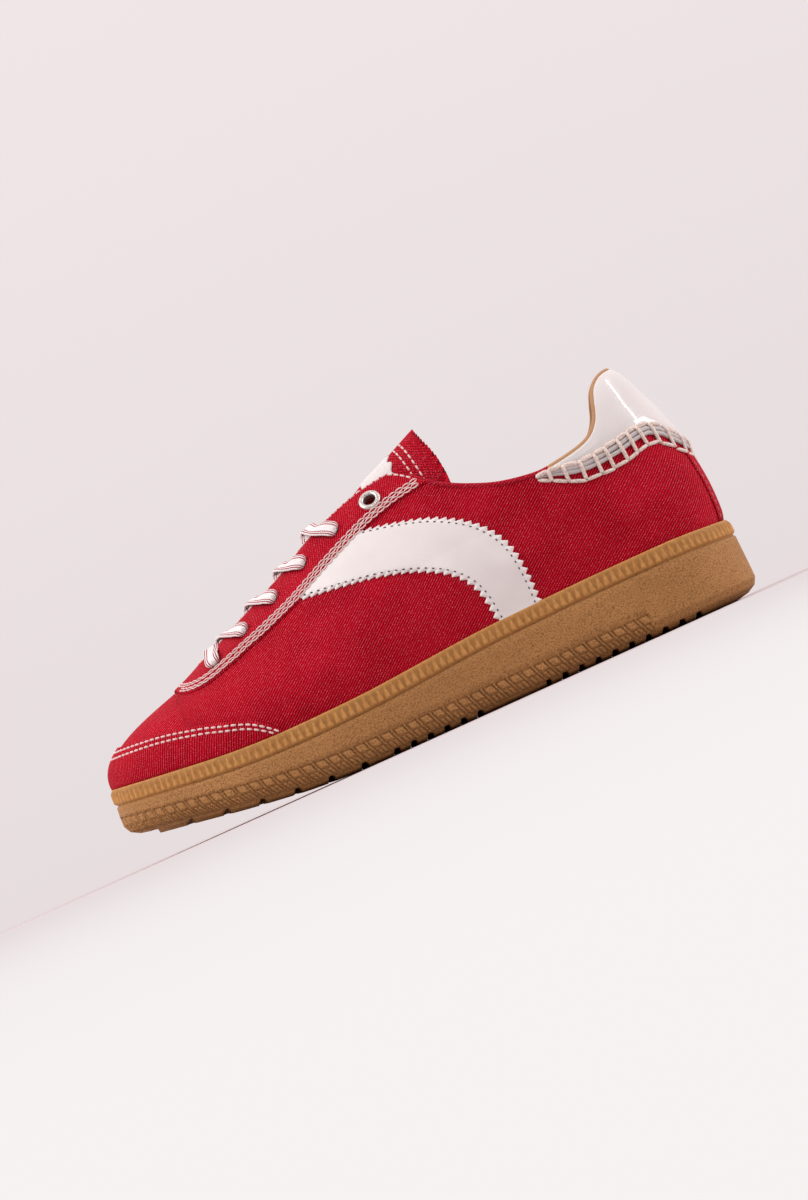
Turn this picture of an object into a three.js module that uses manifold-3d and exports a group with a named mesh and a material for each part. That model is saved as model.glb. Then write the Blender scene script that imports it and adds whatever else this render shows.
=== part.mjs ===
// Low canvas sneaker for the left foot, about EU 39, with a one-piece rubber cupsole.
//
// The frame is in millimetres: +X runs from heel to toe, +Y to the outer side of the foot, +Z up.
// Shapes are worked out in the last's own frame, whose x starts at the back of the heel, and the
// whole group is then moved so that the origin is under the middle of the sole's box.
//
// Everything grows from two functions: outline(inset), the plan of the shoe seen from above, and
// form(...), the closed surface of the last. Shells are one form cut out of a larger one.

import * as THREE from "three";
import { mergeVertices } from "three/addons/utils/BufferGeometryUtils.js";
import Module from "manifold-3d";

const wasm = await Module();
wasm.setup();

// ---- Driving dimensions, in millimetres ----

const LENGTH = 276; // outside length of the sole
const COLUMNS = 30; // stations from heel to toe along each side
const GAP = 0.3; // air between pieces that touch
const WALL = 2.2; // canvas and lining together
const RIM = 2.4; // thickness of the cupsole's wall at its top edge
const CUP_DEPTH = 14; // from the cupsole's top edge down to its floor
const SEAT = RIM + GAP; // inset of the upper's base from the sole's widest outline
const FACING = 1.0; // thickness of the canvas eyelet facing
const TAB = 1.2; // thickness of the patent heel tab
const TONGUE = 3.0;
const INSOLE = 4.2;
const INSOLE_GAP = 0.5; // between the insole's edge and the lining

const HEEL_ROUND = { reach: 40, power: 2.15 };
const TOE_ROUND = { reach: 72, power: 2.15 };
const NOSE_ROUND = { reach: 44, power: 2.5 }; // how the toe box comes down at the front

// The plan: half width of the sole, and how far its middle swings towards the outer side.
const PLAN = [
  { x: 0, half: 37.0, swing: 0 },
  { x: 40, half: 37.4, swing: 0 },
  { x: 75, half: 37.6, swing: 1.2 },
  { x: 110, half: 39.4, swing: 2.6 },
  { x: 145, half: 44.6, swing: 3.2 },
  { x: 175, half: 49.2, swing: 2.2 },
  { x: 200, half: 50.4, swing: -0.6 },
  { x: 230, half: 49.0, swing: -4.2 },
  { x: 276, half: 47.0, swing: -9.0 },
];

// Side view of the sole: its underside, and its top edge where the canvas comes out.
const SOLE_SIDE = [
  { x: 0, under: 0, top: 32.0 },
  { x: 30, under: 0, top: 33.4 },
  { x: 65, under: 0, top: 33.2 },
  { x: 110, under: 0, top: 31.8 },
  { x: 150, under: 0, top: 28.8 },
  { x: 166, under: 0, top: 27.8 },
  { x: 195, under: 1.0, top: 27.2 },
  { x: 222, under: 4.2, top: 28.2 },
  { x: 250, under: 8.6, top: 31.2 },
  { x: 276, under: 12.5, top: 34.4 },
];

// The last: height of its ridge, how full the section is (2 is an ellipse), how far the side
// swells out over the sole, and how far it flares out at the collar.
const LAST = [
  { x: 0, ridge: 110, full: 2.1, swell: 0.7, flare: 0 },
  { x: 34, ridge: 110.4, full: 2.2, swell: 0.8, flare: 0.2 },
  { x: 64, ridge: 111, full: 3.9, swell: 0.9, flare: 2.0 },
  { x: 98, ridge: 112, full: 2.45, swell: 0.8, flare: 1.4 },
  { x: 119, ridge: 110.6, full: 1.95, swell: 0.9, flare: 0.3 },
  { x: 131, ridge: 108.4, full: 1.85, swell: 1.0, flare: 0 },
  { x: 144, ridge: 103.6, full: 1.85, swell: 1.1, flare: 0 },
  { x: 159, ridge: 96.6, full: 1.85, swell: 1.4, flare: 0 },
  { x: 176, ridge: 86.6, full: 1.86, swell: 1.7, flare: 0 },
  { x: 194, ridge: 78.0, full: 1.9, swell: 1.8, flare: 0 },
  { x: 212, ridge: 69.4, full: 2.0, swell: 1.5, flare: 0 },
  { x: 236, ridge: 59.4, full: 2.15, swell: 0.9, flare: 0 },
  { x: 276, ridge: 53.0, full: 2.3, swell: 0.3, flare: 0 },
];
const SWELL_HEIGHT = 34; // the side has swelled out and come back in over this height
const FLARE_HEIGHT = 44; // the side has flared out in full over this height

// How far the back of the heel has come forward at each height.
const HEEL_LEAN = [
  { z: 33.4, lean: 0 },
  { z: 36, lean: -0.4 },
  { z: 50, lean: 0 },
  { z: 63, lean: 1.2 },
  { z: 72, lean: 2.9 },
  { z: 83, lean: 6.3 },
  { z: 91, lean: 9.8 },
  { z: 100, lean: 13.6 },
  { z: 108, lean: 18.4 },
];
const LEAN_REACH = 66; // the lean has faded out this far from the heel

// The top line in side view: heel tab, collar, and the rounded end of the eyelet facing.
const COLLAR = [
  [-12, 106.8],
  [16, 106.8],
  [22, 106.6],
  [26.2, 105],
  [29.4, 101.8],
  [31.4, 97.2],
  [33, 92.4],
  [35.2, 88.4],
  [38.8, 84.8],
  [44.6, 82.3],
  [55, 80.3],
  [65, 79.5],
  [79.7, 82],
  [91, 86.2],
  [99.5, 90.6],
  [106.6, 95.4],
  [111.8, 100.4],
  [117.5, 104],
  [124.5, 106.4],
  [134, 112],
];
const ABOVE = 200; // cutters reach this high

// The throat slot, as half its width either side of the middle.
const THROAT = [
  { x: 107, half: 14.5 },
  { x: 128, half: 12.5 },
  { x: 165, half: 10.8 },
  { x: 200, half: 9.6 },
  { x: 220, half: 9.2 },
];
const THROAT_END = 220;
const THROAT_END_ROUND = { reach: 9, power: 2 };
const THROAT_FLOOR = 50; // the slot's cutter starts this high, well under the ridge

// Lower edge of the eyelet facing in side view, running on round the end of the throat.
const FACING_EDGE = [
  [97, 99.4],
  [103, 96.2],
  [109, 94.6],
  [122, 92.4],
  [135.8, 88.4],
  [155, 80.4],
  [176, 70.8],
  [202.8, 61.6],
  [217, 57.4],
  [226, 56.6],
  [232, 58.4],
  [236.5, 63],
];

// Lower edge of the heel tab in side view, up to the point where it meets the collar.
const TAB_EDGE = [
  [-14, 63],
  [2.5, 64.2],
  [5, 67.4],
  [9.5, 71.2],
  [17, 73.4],
  [29, 72.6],
  [40.5, 71.6],
  [51.5, 73.6],
  [60.5, 77],
  [70, 83],
];

// The tongue: its own ridge, the line that ends it behind, and half its width.
const TONGUE_RIDGE = [
  { x: 60, ridge: 127.6 },
  { x: 90, ridge: 122.2 },
  { x: 102, ridge: 118 },
  { x: 112, ridge: 113.6 },
  { x: 119, ridge: 110.4 },
  { x: 131, ridge: 105.4 },
  { x: 144, ridge: 98.4 },
  { x: 159, ridge: 91 },
  { x: 176, ridge: 81.6 },
  { x: 194, ridge: 73 },
  { x: 212, ridge: 64.4 },
  { x: 236, ridge: 54.4 },
  { x: 276, ridge: 48 },
];
const TONGUE_TOP = [
  [105, 127],
  [102.2, 116.8],
  [98.9, 107],
  [97.2, 98.4],
  [98.2, 91.2],
  [101, 80],
];
const TONGUE_FRONT = 231;
const TONGUE_FOOT = 30; // height at which its front end is cut off
const TONGUE_HALF = 27;
const TONGUE_INSET = 9.8; // how far its section stays inside the upper's

// Lace holes: the row in side view, from the top of the throat towards the toe.
const LACE_HOLES = [
  [130, 97.4],
  [148.4, 91.9],
  [165.2, 84.8],
  [181.6, 76.8],
  [197.8, 69.6],
  [213.4, 62.9],
];
const EYELET = {
  hole: 2.4,
  barrel: 3.0,
  flange: 4.6,
  rise: 0.45, // air under the flange
  lip: 0.8,
  inner: 0.5,
  depth: 3.6,
};
const PLAIN_HOLE = 2.3; // radius of the holes without a ring
const FIRST_LACED = 1; // the top pair of holes has metal eyelets and is left empty
const LACE = { width: 7, thick: 1.2, rest: 2.05, steps: 5 };

// The tread: ribs across the sole, either side of a plain block under the arch.
const TREAD = { depth: 2.6, chevron: 5.5, span: 60, reach: 10 };
const TREAD_RUNS = [
  { from: 24, to: 90, pitch: 7.4, groove: 3.2 },
  { from: 121, to: 154, pitch: 7.4, groove: 3.2 },
  { from: 158, to: 258, pitch: 14.2, groove: 3.4 },
];

// ---- Curves ----

// A smooth curve through one column of a table, by Hermite pieces. It is level beyond its ends
// and at every row where it turns, so that it never passes the values in the table.
function column(table, name, along = "x") {
  const at = table.map((row) => row[along]);
  const value = table.map((row) => row[name]);
  const last = at.length - 1;
  const slope = at.map((_, i) => {
    const a = Math.max(0, i - 1);
    const b = Math.min(last, i + 1);
    const turns = (value[i] - value[a]) * (value[b] - value[i]) <= 0 && a < i && i < b;
    return turns ? 0 : (value[b] - value[a]) / (at[b] - at[a]);
  });
  return (x) => {
    if (x <= at[0]) return value[0];
    if (x >= at[last]) return value[last];
    const i = at.findIndex((a) => a > x) - 1;
    const width = at[i + 1] - at[i];
    const t = (x - at[i]) / width;
    const [t2, t3] = [t * t, t * t * t];
    return (
      value[i] * (2 * t3 - 3 * t2 + 1) +
      slope[i] * width * (t3 - 2 * t2 + t) +
      value[i + 1] * (3 * t2 - 2 * t3) +
      slope[i + 1] * width * (t3 - t2)
    );
  };
}

const halfAt = column(PLAN, "half");
const swingAt = column(PLAN, "swing");
const underAt = column(SOLE_SIDE, "under");
const topAt = column(SOLE_SIDE, "top");
const ridgeAt = column(LAST, "ridge");
const fullAt = column(LAST, "full");
const swellAt = column(LAST, "swell");
const flareAt = column(LAST, "flare");
const leanAt = column(HEEL_LEAN, "lean", "z");
const throatAt = column(THROAT, "half");
const tongueRidgeAt = column(TONGUE_RIDGE, "ridge");
const floorAt = (x) => topAt(x) - CUP_DEPTH;

// 1 well inside the shoe, falling to 0 at an end as a superellipse does.
function rounding(distance, { reach, power }) {
  const t = Math.min(1, Math.max(0, 1 - distance / reach));
  return Math.pow(1 - Math.pow(t, power), 1 / power);
}

const smooth = (t) => t * t * (3 - 2 * t);
const clamp = (t) => Math.min(1, Math.max(0, t));

// ---- The plan outline ----

// Points of the sole's widest outline: up the outer side from the heel to the toe, then back
// down the inner side. The heel and toe points are shared, so there are 2 * COLUMNS of them.
const widest = [];
for (let i = 0; i < 2 * COLUMNS; i++) {
  const turn = (Math.PI * i) / COLUMNS;
  const x = (LENGTH * (1 - Math.cos(turn))) / 2;
  const side = i === 0 || i === COLUMNS ? 0 : Math.sign(Math.sin(turn));
  const half = halfAt(x) * rounding(x, HEEL_ROUND) * rounding(LENGTH - x, TOE_ROUND);
  widest.push(new THREE.Vector2(x, swingAt(x) + side * half));
}
const outward = widest.map((_, i) => {
  const n = widest.length;
  const along = widest[(i + 1) % n].clone().sub(widest[(i + n - 1) % n]);
  return new THREE.Vector2(-along.y, along.x).normalize();
});

// The plan outline moved in by inset.
function outline(inset) {
  return widest.map((p, i) => p.clone().addScaledVector(outward[i], -inset));
}

// ---- Meshes ----

function manifoldOf(positions, triangles) {
  const geometry = new THREE.BufferGeometry()
    .setAttribute("position", new THREE.Float32BufferAttribute(positions, 3))
    .setIndex(triangles);
  const merged = mergeVertices(geometry, 1e-3);
  const index = merged.index.array;
  const kept = [];
  for (let i = 0; i < index.length; i += 3) {
    const [a, b, c] = [index[i], index[i + 1], index[i + 2]];
    if (a !== b && b !== c && c !== a) kept.push(a, b, c);
  }
  return new wasm.Manifold(
    new wasm.Mesh({
      numProp: 3,
      vertProperties: merged.attributes.position.array,
      triVerts: new Uint32Array(kept),
    }),
  );
}

// A three.js geometry as a solid.
function solidOf(geometry) {
  const loose = geometry.index ? geometry.toNonIndexed() : geometry;
  const positions = Array.from(loose.attributes.position.array);
  return manifoldOf(positions, [...Array(positions.length / 3).keys()]);
}

function geometryOf(solid) {
  const mesh = solid.getMesh();
  const positions = new Float32Array(mesh.numVert * 3);
  for (let i = 0; i < mesh.numVert; i++) {
    const start = i * mesh.numProp;
    positions.set(mesh.vertProperties.subarray(start, start + 3), i * 3);
  }
  const geometry = new THREE.BufferGeometry()
    .setAttribute("position", new THREE.BufferAttribute(positions, 3))
    .setIndex(new THREE.BufferAttribute(mesh.triVerts, 1));
  geometry.computeVertexNormals();
  return geometry;
}

// A closed solid through rings that follow the plan outline, from the lowest outside ring on.
// The first and the last ring are closed by rungs between the outer and the inner side.
function loft(rings) {
  const around = rings[0].length;
  const positions = rings.flat(2);
  const triangles = [];
  const quad = (a, b, c, d) => triangles.push(a, b, c, a, c, d);
  for (let r = 0; r + 1 < rings.length; r++) {
    for (let i = 0; i < around; i++) {
      const j = (i + 1) % around;
      const [low, high] = [r * around, (r + 1) * around];
      quad(low + j, low + i, high + i, high + j);
    }
  }
  const end = (rings.length - 1) * around;
  for (let i = 0; i < around / 2; i++) {
    const back = (around - i) % around;
    quad(i, i + 1, around - i - 1, back);
    quad(end + back, end + around - i - 1, end + i + 1, end + i);
  }
  return manifoldOf(positions, triangles);
}

// A closed bar through rings of four points.
function strip(rings) {
  const positions = rings.flat(2);
  const triangles = [];
  const quad = (a, b, c, d) => triangles.push(a, b, c, a, c, d);
  const end = 4 * (rings.length - 1);
  for (let at = 0; at < end; at += 4) {
    for (let i = 0; i < 4; i++) {
      const j = (i + 1) % 4;
      quad(at + i, at + 4 + i, at + 4 + j, at + j);
    }
  }
  quad(0, 1, 2, 3);
  quad(end + 3, end + 2, end + 1, end);
  return manifoldOf(positions, triangles);
}

// A ring of points: the plan outline moved in by inset, at the height that z(x) gives.
function ring(inset, z) {
  return outline(inset).map(({ x, y }) => [x, y, z(x)]);
}

// ---- The last ----

const FORM_ROWS = 10;
const FORM_LAST_ROW = 0.975; // the rows stop just short of the ridge, and rungs close it

// How far the side stands out of its section, this high above the section's bottom.
function bulge(x, up) {
  const swell = swellAt(x) * Math.sin(Math.PI * clamp(up / SWELL_HEIGHT));
  return swell + flareAt(x) * smooth(clamp(up / FLARE_HEIGHT));
}

// The closed surface of the last, grown by grow (in when negative), from its foot up. ridge(x)
// gives the height of its top line before it is grown.
function form({ grow = 0, inset = SEAT, ridge = ridgeAt, foot = floorAt } = {}) {
  const base = outline(inset - grow);
  const toe = base[COLUMNS].x;
  const rings = [base.map(({ x, y }) => [x, y, foot(x)])];
  for (let row = 0; row <= FORM_ROWS; row++) {
    const angle = (Math.PI / 2) * FORM_LAST_ROW * (row / FORM_ROWS);
    rings.push(
      base.map(({ x, y }, i) => {
        const bottom = topAt(x);
        const power = 2 / fullAt(x);
        const height = (ridge(x) + grow - bottom) * rounding(toe - x, NOSE_ROUND);
        const z = bottom + height * Math.pow(Math.sin(angle), power);
        const across = Math.pow(Math.cos(angle), power);
        const out = bulge(x, z - bottom);
        const shift = leanAt(z) * (1 - smooth(clamp(x / LEAN_REACH)));
        return [
          x + shift + out * outward[i].x,
          swingAt(x) + (y - swingAt(x)) * across + out * outward[i].y,
          z,
        ];
      }),
    );
  }
  return loft(rings);
}

const DEEP = 20; // a cutting form's foot is this far under the cup's floor
const deep = (x) => floorAt(x) - DEEP;

// The skin between two grown forms.
function skin(inner, outer) {
  return form({ grow: outer }).subtract(form({ grow: inner, foot: deep }));
}

// ---- Cutters ----

const HALF_SPAN = 90; // cutters reach this far to each side
const EDGE_STEPS = { collar: 38, throat: 10, facing: 20, tab: 20, tongue: 12 };

// A solid with the given outline in side view, right across the shoe.
function acrossShoe(points) {
  const shape = new THREE.Shape(points);
  const across = { depth: 2 * HALF_SPAN, bevelEnabled: false };
  const geometry = new THREE.ExtrudeGeometry(shape, across);
  return solidOf(geometry.rotateX(Math.PI / 2).translate(0, HALF_SPAN, 0));
}

function splinePoints(rows, steps) {
  return new THREE.SplineCurve(
    rows.map(([x, z]) => new THREE.Vector2(x, z)),
  ).getPoints(steps);
}

// Everything above a line in side view.
function aboveLine(rows, steps) {
  const line = splinePoints(rows, steps);
  const [first, last] = [line[0], line[line.length - 1]];
  return acrossShoe([
    ...line,
    new THREE.Vector2(last.x, ABOVE),
    new THREE.Vector2(first.x, ABOVE),
  ]);
}

function throatCutter() {
  const start = THROAT[0].x;
  const edge = [];
  for (let i = 0; i <= EDGE_STEPS.throat; i++) {
    const x = start + (THROAT_END - start) * Math.sin((Math.PI / 2) * (i / EDGE_STEPS.throat));
    edge.push([x, throatAt(x) * rounding(THROAT_END - x, THROAT_END_ROUND)]);
  }
  const outer = edge.map(([x, half]) => new THREE.Vector2(x, swingAt(x) + half));
  const inner = edge.slice(0, -1).map(([x, half]) => new THREE.Vector2(x, swingAt(x) - half));
  const shape = new THREE.Shape([...outer, ...inner.reverse()]);
  const upward = { depth: ABOVE, bevelEnabled: false };
  return solidOf(new THREE.ExtrudeGeometry(shape, upward).translate(0, 0, THROAT_FLOOR));
}

// ---- Eyelets ----

// Where the outer surface, grown by grow, is at this x and height, and which way it faces.
function surfacePoint(x, z, side, grow) {
  const yAt = (px, pz) => {
    const bottom = topAt(px);
    const height = ridgeAt(px) + grow - bottom;
    const rise = clamp((pz - bottom) / height);
    const full = fullAt(px);
    const width = halfAt(px) * rounding(LENGTH - px, TOE_ROUND) - SEAT + grow;
    return width * Math.pow(1 - Math.pow(rise, full), 1 / full) + bulge(px, pz - bottom);
  };
  const step = 0.5;
  const y = yAt(x, z);
  const normal = new THREE.Vector3(
    -(yAt(x + step, z) - yAt(x - step, z)) / (2 * step),
    1,
    -(yAt(x, z + step) - yAt(x, z - step)) / (2 * step),
  ).normalize();
  const swingSlope = (swingAt(x + step) - swingAt(x - step)) / (2 * step);
  normal.x -= side * swingSlope * normal.y;
  normal.y *= side;
  return { point: new THREE.Vector3(x, swingAt(x) + side * y, z), normal: normal.normalize() };
}

// The height of the form's surface at this x, as far as offset from the middle.
function sectionHeight(x, offset) {
  const bottom = topAt(x);
  const width = halfAt(x) * rounding(LENGTH - x, TOE_ROUND) - SEAT;
  const full = fullAt(x);
  return bottom + (ridgeAt(x) - bottom) * Math.pow(1 - Math.pow(offset / width, full), 1 / full);
}

// Turns a geometry made around +Y so that +Y points along normal, at point.
function place(geometry, { point, normal }) {
  const turn = new THREE.Quaternion().setFromUnitVectors(new THREE.Vector3(0, 1, 0), normal);
  return geometry.applyQuaternion(turn).translate(point.x, point.y, point.z);
}

const holeSpots = [1, -1].flatMap((side) =>
  LACE_HOLES.map(([x, z], i) => ({
    name: `eyelet_${side > 0 ? "outer" : "inner"}`,
    ringed: i < FIRST_LACED,
    ...surfacePoint(x, z, side, FACING + GAP),
  })),
);

const EYELET_SIDES = 12;
const HOLE_REACH = 16; // length of the cylinder that cuts a hole

// A rolled metal ring: a lip outside the facing and a barrel through it.
function eyeletGeometry(spot) {
  const { hole, barrel, flange, rise, lip, inner, depth } = EYELET;
  const profile = [
    [hole, -depth],
    [barrel, -depth],
    [barrel, rise],
    [flange, rise],
    [(flange + barrel) / 2, rise + lip],
    [hole, rise + inner],
    [hole, -depth],
  ].map(([r, y]) => new THREE.Vector2(r, y));
  return place(new THREE.LatheGeometry(profile, EYELET_SIDES), spot);
}

function laceHole(spot) {
  const radius = spot.ringed ? EYELET.barrel + GAP : PLAIN_HOLE;
  const cylinder = new THREE.CylinderGeometry(radius, radius, HOLE_REACH, EYELET_SIDES);
  return solidOf(place(cylinder, spot));
}

// ---- Pieces ----

const collarCutter = aboveLine(COLLAR, EDGE_STEPS.collar);
const throat = throatCutter();
const holes = holeSpots.map(laceHole);

function openTop(solid) {
  return solid.subtract(collarCutter).subtract(throat);
}

function upper() {
  const foot = (x) => floorAt(x) + GAP;
  const shell = form({ foot }).subtract(form({ grow: -WALL, foot: deep }));
  return holes.reduce((s, hole) => s.subtract(hole), openTop(shell));
}

function eyestay() {
  const region = aboveLine(FACING_EDGE, EDGE_STEPS.facing);
  const shell = openTop(skin(GAP, GAP + FACING).intersect(region));
  return holes.reduce((s, hole) => s.subtract(hole), shell);
}

function heelTab() {
  const region = aboveLine(TAB_EDGE, EDGE_STEPS.tab);
  return skin(GAP, GAP + TAB).intersect(region).subtract(collarCutter);
}

function tongue() {
  const layer = (depth, foot) =>
    form({ grow: -depth, inset: SEAT + TONGUE_INSET, ridge: tongueRidgeAt, foot });
  const sheet = layer(0, floorAt).subtract(layer(TONGUE, deep));
  const edge = splinePoints(TONGUE_TOP, EDGE_STEPS.tongue);
  const region = acrossShoe([
    new THREE.Vector2(TONGUE_FRONT, ABOVE),
    ...edge,
    new THREE.Vector2(TONGUE_FRONT, TONGUE_FOOT),
  ]);
  const middle = swingAt((TONGUE_FRONT + TONGUE_TOP[0][0]) / 2);
  const band = new THREE.BoxGeometry(LENGTH, 2 * TONGUE_HALF, ABOVE);
  band.translate(LENGTH / 2, middle, ABOVE / 2);
  return sheet.intersect(region).intersect(solidOf(band));
}

function insole() {
  const inset = SEAT + WALL + INSOLE_GAP;
  const low = (x) => floorAt(x) + GAP;
  const high = (x) => floorAt(x) + GAP + INSOLE;
  return loft([ring(inset, low), ring(inset, high)]);
}

// Section of the sole's side, from the edge of the tread up and over into the cup.
const SOLE_SECTION = [
  { inset: 11, up: 0 },
  { inset: 5.4, up: 1.2 },
  { inset: 1.8, up: 3.2 },
  { inset: 0.2, up: 6.2 },
  { inset: 0.7, down: 7.6 },
  { inset: 1.6, down: 6.9 },
  { inset: 0.7, down: 6.2 },
  { inset: 1.0, down: 1.4 },
  { inset: 1.7, down: 0 },
  { inset: RIM, down: 0 },
  { inset: RIM, down: CUP_DEPTH },
];

// One bar of the tread's gaps, bent forward in the middle, cut up into the underside.
function treadGap(x, groove) {
  const { depth, chevron, span, reach } = TREAD;
  const shape = new THREE.Shape([
    new THREE.Vector2(x, -span),
    new THREE.Vector2(x + groove, -span),
    new THREE.Vector2(x + groove + chevron, 0),
    new THREE.Vector2(x + groove, span),
    new THREE.Vector2(x, span),
    new THREE.Vector2(x + chevron, 0),
  ]);
  const bar = new THREE.ExtrudeGeometry(shape, { depth: reach, bevelEnabled: false });
  const slope = (underAt(x + groove) - underAt(x)) / groove;
  bar.translate(-x, 0, depth - reach).rotateY(-Math.atan(slope));
  return solidOf(bar.translate(x, 0, underAt(x)));
}

function sole() {
  const rings = SOLE_SECTION.map(({ inset, up, down }) =>
    ring(inset, (x) => (up === undefined ? topAt(x) - down : underAt(x) + up)),
  );
  let block = loft(rings);
  for (const { from, to, pitch, groove } of TREAD_RUNS) {
    for (let x = from; x + groove <= to; x += pitch) block = block.subtract(treadGap(x, groove));
  }
  return block;
}

// One crossing of the lace: a flat strip from hole to hole. It lies on the facing and is
// stretched straight over the throat.
function laceBar(i) {
  const { width, thick, rest, steps } = LACE;
  const [x, z] = LACE_HOLES[i];
  const edge = throatAt(x);
  const end = Math.abs(surfacePoint(x, z, 1, 0).point.y - swingAt(x));
  const slope = (ridgeAt(x + 1) - ridgeAt(x - 1)) / 2;
  const along = new THREE.Vector3(1, 0, slope).normalize();
  const rings = [];
  for (const side of [-1, 1]) {
    for (let k = 0; k <= steps; k++) {
      const t = side < 0 ? 1 - k / steps : k / steps;
      const offset = edge + (end - edge) * t;
      const { point, normal } = surfacePoint(x, sectionHeight(x, offset), side, 0);
      const corner = (u, v) =>
        point.clone().addScaledVector(along, u).addScaledVector(normal, v).toArray();
      rings.push([
        corner(-width / 2, rest),
        corner(width / 2, rest),
        corner(width / 2, rest + thick),
        corner(-width / 2, rest + thick),
      ]);
    }
  }
  return strip(rings);
}

// ---- The assembly ----

function material(color, roughness, metalness = 0) {
  return new THREE.MeshStandardMaterial({ color, roughness, metalness });
}
const gum = material(0xb5854a, 0.6);
const canvas = material(0xb8122b, 0.9);
const patent = material(0xe6e1dd, 0.15);
const lining = material(0xc99870, 0.85);
const steel = material(0xb9b4ad, 0.3, 1);
const cotton = material(0xf0e9e2, 0.85);

const shoe = new THREE.Group();

function add(name, geometry, finish) {
  const mesh = new THREE.Mesh(geometry, finish);
  mesh.name = name;
  shoe.add(mesh);
}

add("sole", geometryOf(sole()), gum);
add("insole", geometryOf(insole()), lining);
add("upper", geometryOf(upper()), canvas);
add("eyestay", geometryOf(eyestay()), canvas);
add("heel_tab", geometryOf(heelTab()), patent);
add("tongue", geometryOf(tongue()), canvas);
for (const spot of holeSpots.filter(({ ringed }) => ringed)) {
  add(spot.name, geometryOf(solidOf(eyeletGeometry(spot))), steel);
}
for (let i = FIRST_LACED; i < LACE_HOLES.length; i++) {
  add(`lace_bar_${i}`, geometryOf(laceBar(i)), cotton);
}

const box = new THREE.Box3().setFromObject(shoe);
shoe.position.set(-(box.min.x + box.max.x) / 2, -(box.min.y + box.max.y) / 2, -box.min.z);

export default shoe;
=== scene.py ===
"""Looks for the low canvas sneaker: fine shells, stitching, trim, lacing and materials.

Lengths are in millimetres in the last's own frame (x from the back of the heel towards the toe,
y towards the outer side of the left foot, z up) and become metres of the row's frame when a mesh
is made. The tables repeat the ones that the solids were made from.
"""

import math

import bmesh
import bpy
import numpy as np
from mathutils import Matrix, Vector


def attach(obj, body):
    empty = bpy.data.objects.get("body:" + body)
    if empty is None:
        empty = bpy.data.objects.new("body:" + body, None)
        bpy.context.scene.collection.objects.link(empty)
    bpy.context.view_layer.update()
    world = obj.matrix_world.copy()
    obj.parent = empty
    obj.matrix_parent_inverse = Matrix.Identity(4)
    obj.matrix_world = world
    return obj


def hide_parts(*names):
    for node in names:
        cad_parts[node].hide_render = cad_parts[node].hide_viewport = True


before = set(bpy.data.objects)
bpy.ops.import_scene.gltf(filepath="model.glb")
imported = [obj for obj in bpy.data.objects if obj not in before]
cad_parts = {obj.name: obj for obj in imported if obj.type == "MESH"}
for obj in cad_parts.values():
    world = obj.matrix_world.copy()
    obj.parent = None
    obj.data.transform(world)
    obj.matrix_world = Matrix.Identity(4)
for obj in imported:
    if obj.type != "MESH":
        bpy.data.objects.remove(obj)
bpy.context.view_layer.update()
RANDOM = np.random.default_rng(7)

# ---- Driving dimensions, in millimetres ----

LENGTH = 276.0
WALL = 2.2
RIM = 2.4
CUP_DEPTH = 14.0
SEAT = RIM + 0.3  # the upper sits this far inside the sole's outline
FACING = 1.0
TAB = 1.2
TONGUE = 3.0
UNDER = 0.05  # clearance under a thin layer
HEEL_ROUND = (40.0, 2.15)  # how far from the end the outline rounds in, and the curve's power
TOE_ROUND = (72.0, 2.15)
NOSE_ROUND = (44.0, 2.5)
SWELL_HEIGHT = 34.0
FLARE_HEIGHT = 44.0
RIDGE_FADE = 0.5  # radians short of the ridge at which the sides' bulge starts to fade
LEAN_REACH = 66.0

PLAN = {  # the sole's outline: half its width, and its middle line's sideways swing
    "x": [0, 40, 75, 110, 145, 175, 200, 230, 276],
    "half": [37.0, 37.4, 37.6, 39.4, 44.6, 49.2, 50.4, 49.0, 47.0],
    "swing": [0, 0, 1.2, 2.6, 3.2, 2.2, -0.6, -4.2, -9.0],
}
SOLE_SIDE = {  # heights of the sole's underside and top edge
    "x": [0, 30, 65, 110, 150, 166, 195, 222, 250, 276],
    "under": [0, 0, 0, 0, 0, 0, 1.0, 4.2, 8.6, 12.5],
    "top": [32.0, 33.4, 33.2, 31.8, 28.8, 27.8, 27.2, 28.2, 31.2, 34.4],
}
LAST = {  # the ridge's height, each section's fullness, and the sides' bulges
    "x": [0, 34, 64, 98, 119, 131, 144, 159, 176, 194, 212, 236, 276],
    "ridge": [110, 110.4, 111, 112, 110.6, 108.4, 103.6, 96.6, 86.6, 78.0, 69.4, 59.4, 53.0],
    "full": [2.1, 2.2, 3.9, 2.45, 1.95, 1.85, 1.85, 1.85, 1.86, 1.9, 2.0, 2.15, 2.3],
    "swell": [0.7, 0.8, 0.9, 0.8, 0.9, 1.0, 1.1, 1.4, 1.7, 1.8, 1.5, 0.9, 0.3],
    "flare": [0, 0.2, 2.0, 1.4, 0.3, 0, 0, 0, 0, 0, 0, 0, 0],
}
HEEL_LEAN = {
    "z": [33.4, 36, 50, 63, 72, 83, 91, 100, 108],
    "lean": [0, -0.4, 0, 1.2, 2.9, 6.3, 9.8, 13.6, 18.4],
}
COLLAR = [
    (-12, 106.8), (16, 106.8), (22, 106.6), (26.2, 105), (29.4, 101.8), (31.4, 97.2),
    (33, 92.4), (35.2, 88.4), (38.8, 84.8), (44.6, 82.3), (55, 80.3), (65, 79.5),
    (79.7, 82), (91, 86.2), (99.5, 90.6), (106.6, 95.4), (111.8, 100.4), (117.5, 104),
    (124.5, 106.4), (134, 112),
]
THROAT = {"x": [107, 128, 165, 200, 220], "half": [14.5, 12.5, 10.8, 9.6, 9.2]}
THROAT_START = 107.0
THROAT_END = 220.0
THROAT_ROUND = 9.0
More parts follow.
